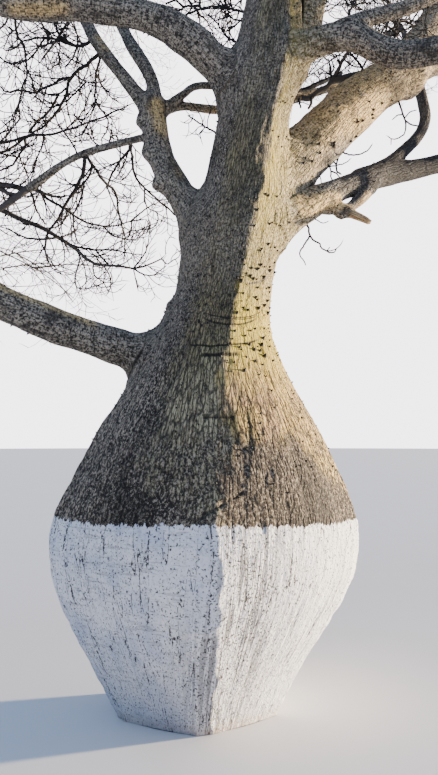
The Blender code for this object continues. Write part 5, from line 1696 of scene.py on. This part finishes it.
def makeStage():
    ring = np.linspace(0, 2 * np.pi, 97)[:-1]
    rim = np.stack((np.cos(ring), np.sin(ring), ring * 0), axis=1) * stageLook["floorRadius"]
    vertices = np.concatenate(([[0.0, 0.0, 0.0]], rim)) + np.array([0, 0, -0.002])
    faces = np.array([(0, 1 + side, 1 + (side + 1) % 96) for side in range(96)])
    material, tree, shader = newMaterial("pale_floor")
    place = addNode(tree, "TexCoord").outputs["Object"]
    cloudy = pattern(tree, place, (0.8, 0.8, 0.8), 3.0)
    pale = stageLook["floorColour"]
    colour = mixed(tree, cloudy, [value * 0.97 for value in pale], [value * 1.02 for value in pale])
    tree.links.new(colour, shader.inputs["Base Color"])
    shader.inputs["Roughness"].default_value = 0.9
    floor = meshPiece("floor", vertices, faces, [material])
    world = bpy.data.worlds.new("pale_sky")
    bpy.context.scene.world = world
    world.use_nodes = True
    background = world.node_tree.nodes["Background"]
    seen = addNode(world.node_tree, "LightPath").outputs["Is Camera Ray"]
    sky = mixed(world.node_tree, seen, stageLook["skyLight"], stageLook["skySeen"])
    world.node_tree.links.new(sky, background.inputs["Color"])
    light = bpy.data.lights.new("low_sun", "SUN")
    light.color = stageLook["sunColour"]
    light.energy = stageLook["sunStrength"]
    light.angle = math.radians(stageLook["sunSoftness"])
    lamp = bpy.data.objects.new("low_sun", light)
    lamp.rotation_mode = "QUATERNION"
    lamp.rotation_quaternion = Vector(stageLook["sunFrom"]).to_track_quat("Z", "Y")
    bpy.context.scene.collection.objects.link(lamp)


def makeCamera():
    data = bpy.data.cameras.new("photo_camera")
    data.sensor_fit = "AUTO"
    data.sensor_width = photoCamera["sensor"]
    data.lens = photoCamera["lens"]
    camera = bpy.data.objects.new("photo_camera", data)
    camera.location = photoCamera["eye"]
    camera.rotation_euler = (math.radians(90 + photoCamera["lookUp"]), 0, math.radians(photoCamera["turn"]))
    bpy.context.scene.collection.objects.link(camera)
    bpy.context.scene.camera = camera


makeCamera()
makeStage()
trunkBark = barkMaterial("limewashed_trunk_bark", True)
boughBark = barkMaterial("bough_bark_grey", False)
oldTwigBark = twigMaterial("old_twig_bark", (0.085, 0.074, 0.064), 0.85)
youngTwigBark = twigMaterial("young_twig_bark", (0.026, 0.022, 0.019), 0.8)
prickleBark = twigMaterial("prickle_base", (0.10, 0.085, 0.06), 0.8)
pricklePoint = twigMaterial("prickle_point", (0.012, 0.011, 0.010), 0.6)
wood = makeWood(trunkBark, boughBark)
makePrickles(wood, prickleBark, pricklePoint)
makeTwigs(wood["lines"], oldTwigBark, youngTwigBark)
makePhotoTwigs(wood["lines"], oldTwigBark, youngTwigBark)
